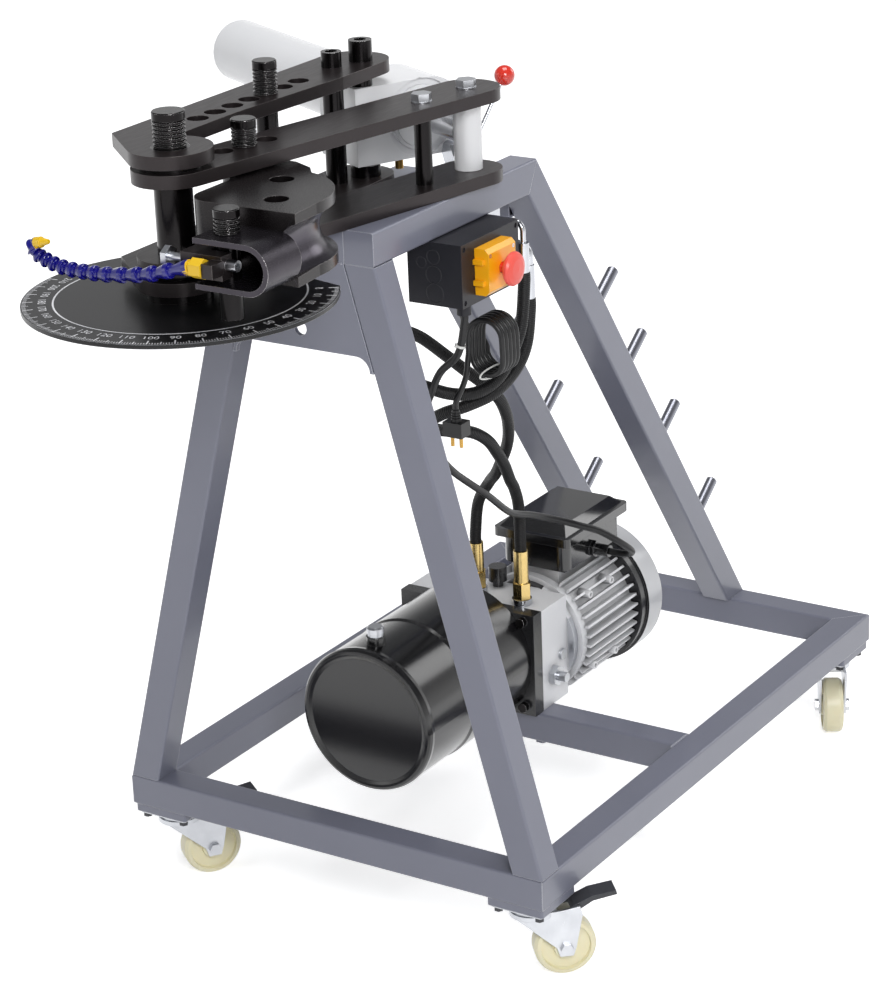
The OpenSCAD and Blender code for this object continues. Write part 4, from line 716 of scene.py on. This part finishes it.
def turned(name, foot, way, profile, sides, material):
    """Lathe-turned piece. The profile's pairs give distance along the axis and radius, in
    millimetres."""
    way = way.normalized()
    side = way.orthogonal().normalized()
    other = way.cross(side)
    outward = [side * math.cos(a) + other * math.sin(a)
               for a in (2 * math.pi * k / sides for k in range(sides))]
    bm = bmesh.new()
    rings = [[bm.verts.new(foot + (way * a + out * r) / 1000) for out in outward]
             for a, r in profile]
    for one, two in zip(rings, rings[1:]):
        for k in range(sides):
            n = (k + 1) % sides
            bm.faces.new((one[k], one[n], two[n], two[k])).smooth = True
    bm.faces.new(rings[-1])
    bm.faces.new(list(reversed(rings[0])))
    return piece_from(name, bm, material)


# Lugs cast on the motor case: short bosses with a drilled hole, two above and two below
# on each side.
MOTOR_X, MOTOR_Z = 298, 220
lug = ((0, 6.5), (17, 5.4), (18, 5.0), (18.2, 4.4), (18.0, 2.8), (17.4, 2.5), (10, 2.5))
lug_places = ((56, 573.5, 54), (56, 517.4, 54), (68, 561.4, -40), (68, 506.1, -40))
for side_name, way in (("right", 1), ("left", -1)):
    for k, (out, y, up) in enumerate(lug_places):
        boss = turned("motor_lug_%s_%d" % (side_name, k + 1), at(MOTOR_X + way * out, y, MOTOR_Z + up),
                      Vector((way, 0, 0)), lug, sides=24, material=cast_alloy)
        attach(boss, "base")

# Fan cover and terminal box: pressed sheet steel. The cover is sprayed pale, over a black
# neck, and the box is dipped in glossy black.
# Both enamels' paler edge colours are painted highlights along the edges.
cover_enamel = enamel("pale_cover_enamel", "#d9dadc", "#cfd0d3", "#f0f0f1", 0.30, 1.4, 0.03, coat=0.3)
neck_end = 633.2
dress(cover_enamel, "fan_cover")
dress_part("fan_cover", satin_black, lambda x, y, z: y < neck_end)
box_enamel = enamel("glossy_box_enamel", "#131315", "#0d0d0f", "#5a5a60", 0.14, 3.0, 0.02, coat=0.7)
dress(box_enamel, "terminal_box")

# Fan grille: three rings of slots in the cover's end, as dark strips. They lie just under
# its face, so only the outer edge of the outer ring shows, as a thin dashed circle.
speck_mm = 2
slot_dark, tree, face = start_material("shadow_in_slots")
where = add(tree, "TexCoord")
speck = add(tree, "TexNoise", Vector=where.outputs["Object"], Scale=1000 / speck_mm, Detail=2.0)
tint = add(tree, "MixRGB", Fac=speck.outputs["Fac"], Color1="#0c0c0d", Color2="#1a1a1c")
fill(face, Base_Color=tint.outputs[0], Roughness=0.8)
slot_depth = 0.0006
grille_x, grille_y, grille_z = at(MOTOR_X, 0, 0).x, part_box("fan_cover")[1].y, MOTOR_Z / 1000
slot_half, slot_from, slot_to, slot_steps = 0.0032, 0.16, 0.84, 5
bm = bmesh.new()
for r, count in ((0.038, 14), (0.052, 20), (0.066, 26)):
    for k in range(count):
        a0, a1 = (2 * math.pi * (k + share) / count for share in (slot_from, slot_to))
        ring = []
        for j in range(slot_steps + 1):
            a = a0 + (a1 - a0) * j / slot_steps
            ring.append([bm.verts.new((grille_x + q * math.cos(a), grille_y - slot_depth,
                                       grille_z + q * math.sin(a)))
                         for q in (r - slot_half, r + slot_half)])
        for one, two in zip(ring, ring[1:]):
            bm.faces.new((one[0], two[0], two[1], one[1]))
grille = piece_from("fan_cover_slots", bm, slot_dark)
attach(grille, "base")

# Hose ends: turned steel elbows and sleeves, nickel bright, and yellow-passivated crimps
# on the pump block.
yellow_zinc = plated("yellow_passivated_zinc", "#dcc48a", "#c2a564", 0.24, 0.6)
crimp_low, crimp_high = 298.3, 500
dress(bright_nickel, "hose_fittings")
dress_part("hose_fittings", yellow_zinc, lambda x, y, z: crimp_low < z < crimp_high)


# Switch box: moulded black ABS with a dark grey lid on its right side, which has a sunk
# screw hole in each corner. Rings of knock-outs stand a hair proud of its front.
def moulded(name, base, low, rough, grain_mm, depth_mm, edge_mm=0.8, coat=0.0, specular=0.5,
            cloud_mm=50):
    """Moulded plastic whose colour drifts from low to base, with a fine grain."""
    made, tree, face = start_material(name)
    where = add(tree, "TexCoord")
    cloud = add(tree, "TexNoise", Vector=where.outputs["Object"], Scale=1000 / cloud_mm, Detail=3.0)
    tint = add(tree, "MixRGB", Fac=cloud.outputs["Fac"], Color1=low, Color2=base)
    grain = add(tree, "TexNoise", Vector=where.outputs["Object"], Scale=1000 / grain_mm, Detail=2.0)
    spread = add(tree, "MapRange", Value=grain.outputs["Fac"], To_Min=rough - 0.04,
                 To_Max=rough + 0.08)
    soft = add(tree, "Bevel", {"samples": 4}, Radius=edge_mm / 1000)
    bump = add(tree, "Bump", Height=grain.outputs["Fac"], Distance=depth_mm / 1000, Strength=0.5,
               Normal=soft.outputs[0])
    fill(face, Base_Color=tint.outputs[0], Roughness=spread.outputs[0], Normal=bump.outputs[0],
         Coat_Weight=coat, Specular_IOR_Level=specular)
    return made


black_abs = moulded("black_abs", "#25252b", "#1c1c21", 0.40, 0.8, 0.05, specular=0.3)
grey_abs = moulded("grey_abs_lid", "#201f25", "#19181d", 0.36, 0.8, 0.04, specular=0.3)
lid_x, box_front = 441.9, 115
dress(black_abs, "switch_box")
dress_part("switch_box", grey_abs, lambda x, y, z: x > lid_x)
rim_half, rim_rise, rim_sides = 0.7, 0.45, 36
bm = bmesh.new()
for x, z, r in ((408, 848, 8.5), (408, 827, 10.5), (409, 805, 11.5), (392, 840, 6.5)):
    for k in range(rim_sides):
        ends = [2 * math.pi * n / rim_sides for n in (k, k + 1)]
        strip = []
        for q, rise in ((r - rim_half, 0.0), (r, rim_rise), (r + rim_half, 0.0)):
            strip.append([bm.verts.new(at(x + q * math.cos(t), box_front - rise, z + q * math.sin(t)))
                          for t in ends])
        for one, two in zip(strip, strip[1:]):
            bm.faces.new((one[0], one[1], two[1], two[0]))
knock_outs = piece_from("box_knock_outs", bm, black_abs)
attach(knock_outs, "base")

# Stop switch: a yellow polycarbonate housing, held by two screws, and a red mushroom button
# on its stem.
yellow_pc = moulded("yellow_polycarbonate", "#ffb90f", "#f7a60a", 0.30, 1.0, 0.03, edge_mm=1.2,
                    coat=0.2)
red_pc = moulded("red_mushroom_button", "#f65d50", "#ee5043", 0.34, 1.2, 0.02, edge_mm=1.0,
                 coat=0.1)
button_y, button_z, stem_radius, cap_x = 172.5, 827.5, 7.0, 476
dress(yellow_pc, "switch_housing")
dress(red_pc, "stop_button")
dress_part("stop_button", red_ball,
           lambda x, y, z: math.hypot(y - button_y, z - button_z) < stem_radius and x < cap_x)
screw_x, screw_z, screw_radius, socket_radius, screw_sides = 465.1, 847, 2.4, 0.9, 16
bm = bmesh.new()
for y in (147.5, 197.5):
    for k in range(screw_sides):
        a, b = (2 * math.pi * n / screw_sides for n in (k, k + 1))
        corners = ((screw_radius, a), (screw_radius, b), (socket_radius, b), (socket_radius, a))
        bm.faces.new([bm.verts.new(at(screw_x, y + q * math.cos(t), screw_z + q * math.sin(t)))
                      for q, t in corners])
screws = piece_from("housing_screws", bm, zinc)
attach(screws, "base")

# Plug and ties: a moulded rubber plug with brass contacts, a nylon tie on the motor cable
# and a white tie cord round the hank.
contacts_top = 621.9
dress(cable_sheath, "mains_plug")
dress_part("mains_plug", brass, lambda x, y, z: z < contacts_top)
tie_nylon = moulded("white_nylon_tie", "#f0f0ee", "#dcdcd8", 0.35, 0.8, 0.02)


def tie_round(name, middle, way, radius, width, thick):
    """A flat strap closed round a cord, with its small lock head."""
    way = way.normalized()
    side = way.orthogonal().normalized()
    other = way.cross(side)
    sides = 28
    section = ((0, -width / 2), (thick, -width / 2), (thick, width / 2), (0, width / 2))
    bm = bmesh.new()
    rings = []
    for k in range(sides):
        a = 2 * math.pi * k / sides
        out = math.cos(a) * side + math.sin(a) * other
        rings.append([bm.verts.new(middle + out * (radius + t) + way * w) for t, w in section])
    for k in range(sides):
        one, two = rings[k], rings[(k + 1) % sides]
        for j in range(4):
            bm.faces.new((one[j], one[(j + 1) % 4], two[(j + 1) % 4], two[j]))
    head = bmesh.ops.create_cube(bm, size=1.0)["verts"]
    turn = Matrix((side, other, way)).transposed()
    head_size = (thick * 2.4, width * 1.2, width * 1.3)
    for v in head:
        sized = Vector([c * s for c, s in zip(v.co, head_size)])
        v.co = middle + side * (radius + thick) + turn @ sized
    sharp = [e for e in bm.edges if e.verts[0] in head and e.verts[1] in head]
    bmesh.ops.bevel(bm, geom=sharp, offset=0.0003, segments=2, affect="EDGES")
    tie = piece_from(name, bm, tie_nylon)
    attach(tie, "base")


tie_round("cable_tie_motor", at(425.2, 140, 736.4), Vector((-2.7, -0.9, -10.5)), radius=0.0047,
          width=0.0030, thick=0.0009)
tie_y, tie_z, tie_lean, tie_long, tie_high, tie_steps = 186, 694.5, 3, 27, 6.4, 40
tie_cord_line = []
for k in range(tie_steps + 1):
    a = 2 * math.pi * k / tie_steps
    tie_cord_line.append(at(HANK_X + tie_lean * math.cos(a), tie_y + tie_long * math.cos(a),
                            tie_z + tie_high * math.sin(a)))
tie_cord = sleeved_line("hank_tie_cord", tie_cord_line, radius=0.0011, sides=10,
                        material=tie_nylon)
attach(tie_cord, "base")

# Nozzle arm: snap-together links of blue acetal, with a yellow nut and nozzle. Each link
# is a moulded cup over the next one's ball.
blue_acetal = moulded("blue_acetal", "#15128a", "#0e0b66", 0.20, 1.0, 0.02, edge_mm=0.6, coat=0.3)
dress(blue_acetal, "nozzle_arm")
nozzle_yellow = moulded("yellow_acetal", "#f2c928", "#e6b818", 0.30, 1.0, 0.02, edge_mm=0.6,
                        coat=0.2)
nut_x, nozzle_left, nozzle_right, nozzle_low = 391.5, 192.5, 212, 946.5
dress_part("nozzle_arm", nozzle_yellow,
           lambda x, y, z: x > nut_x or (nozzle_left < x < nozzle_right and z > nozzle_low))
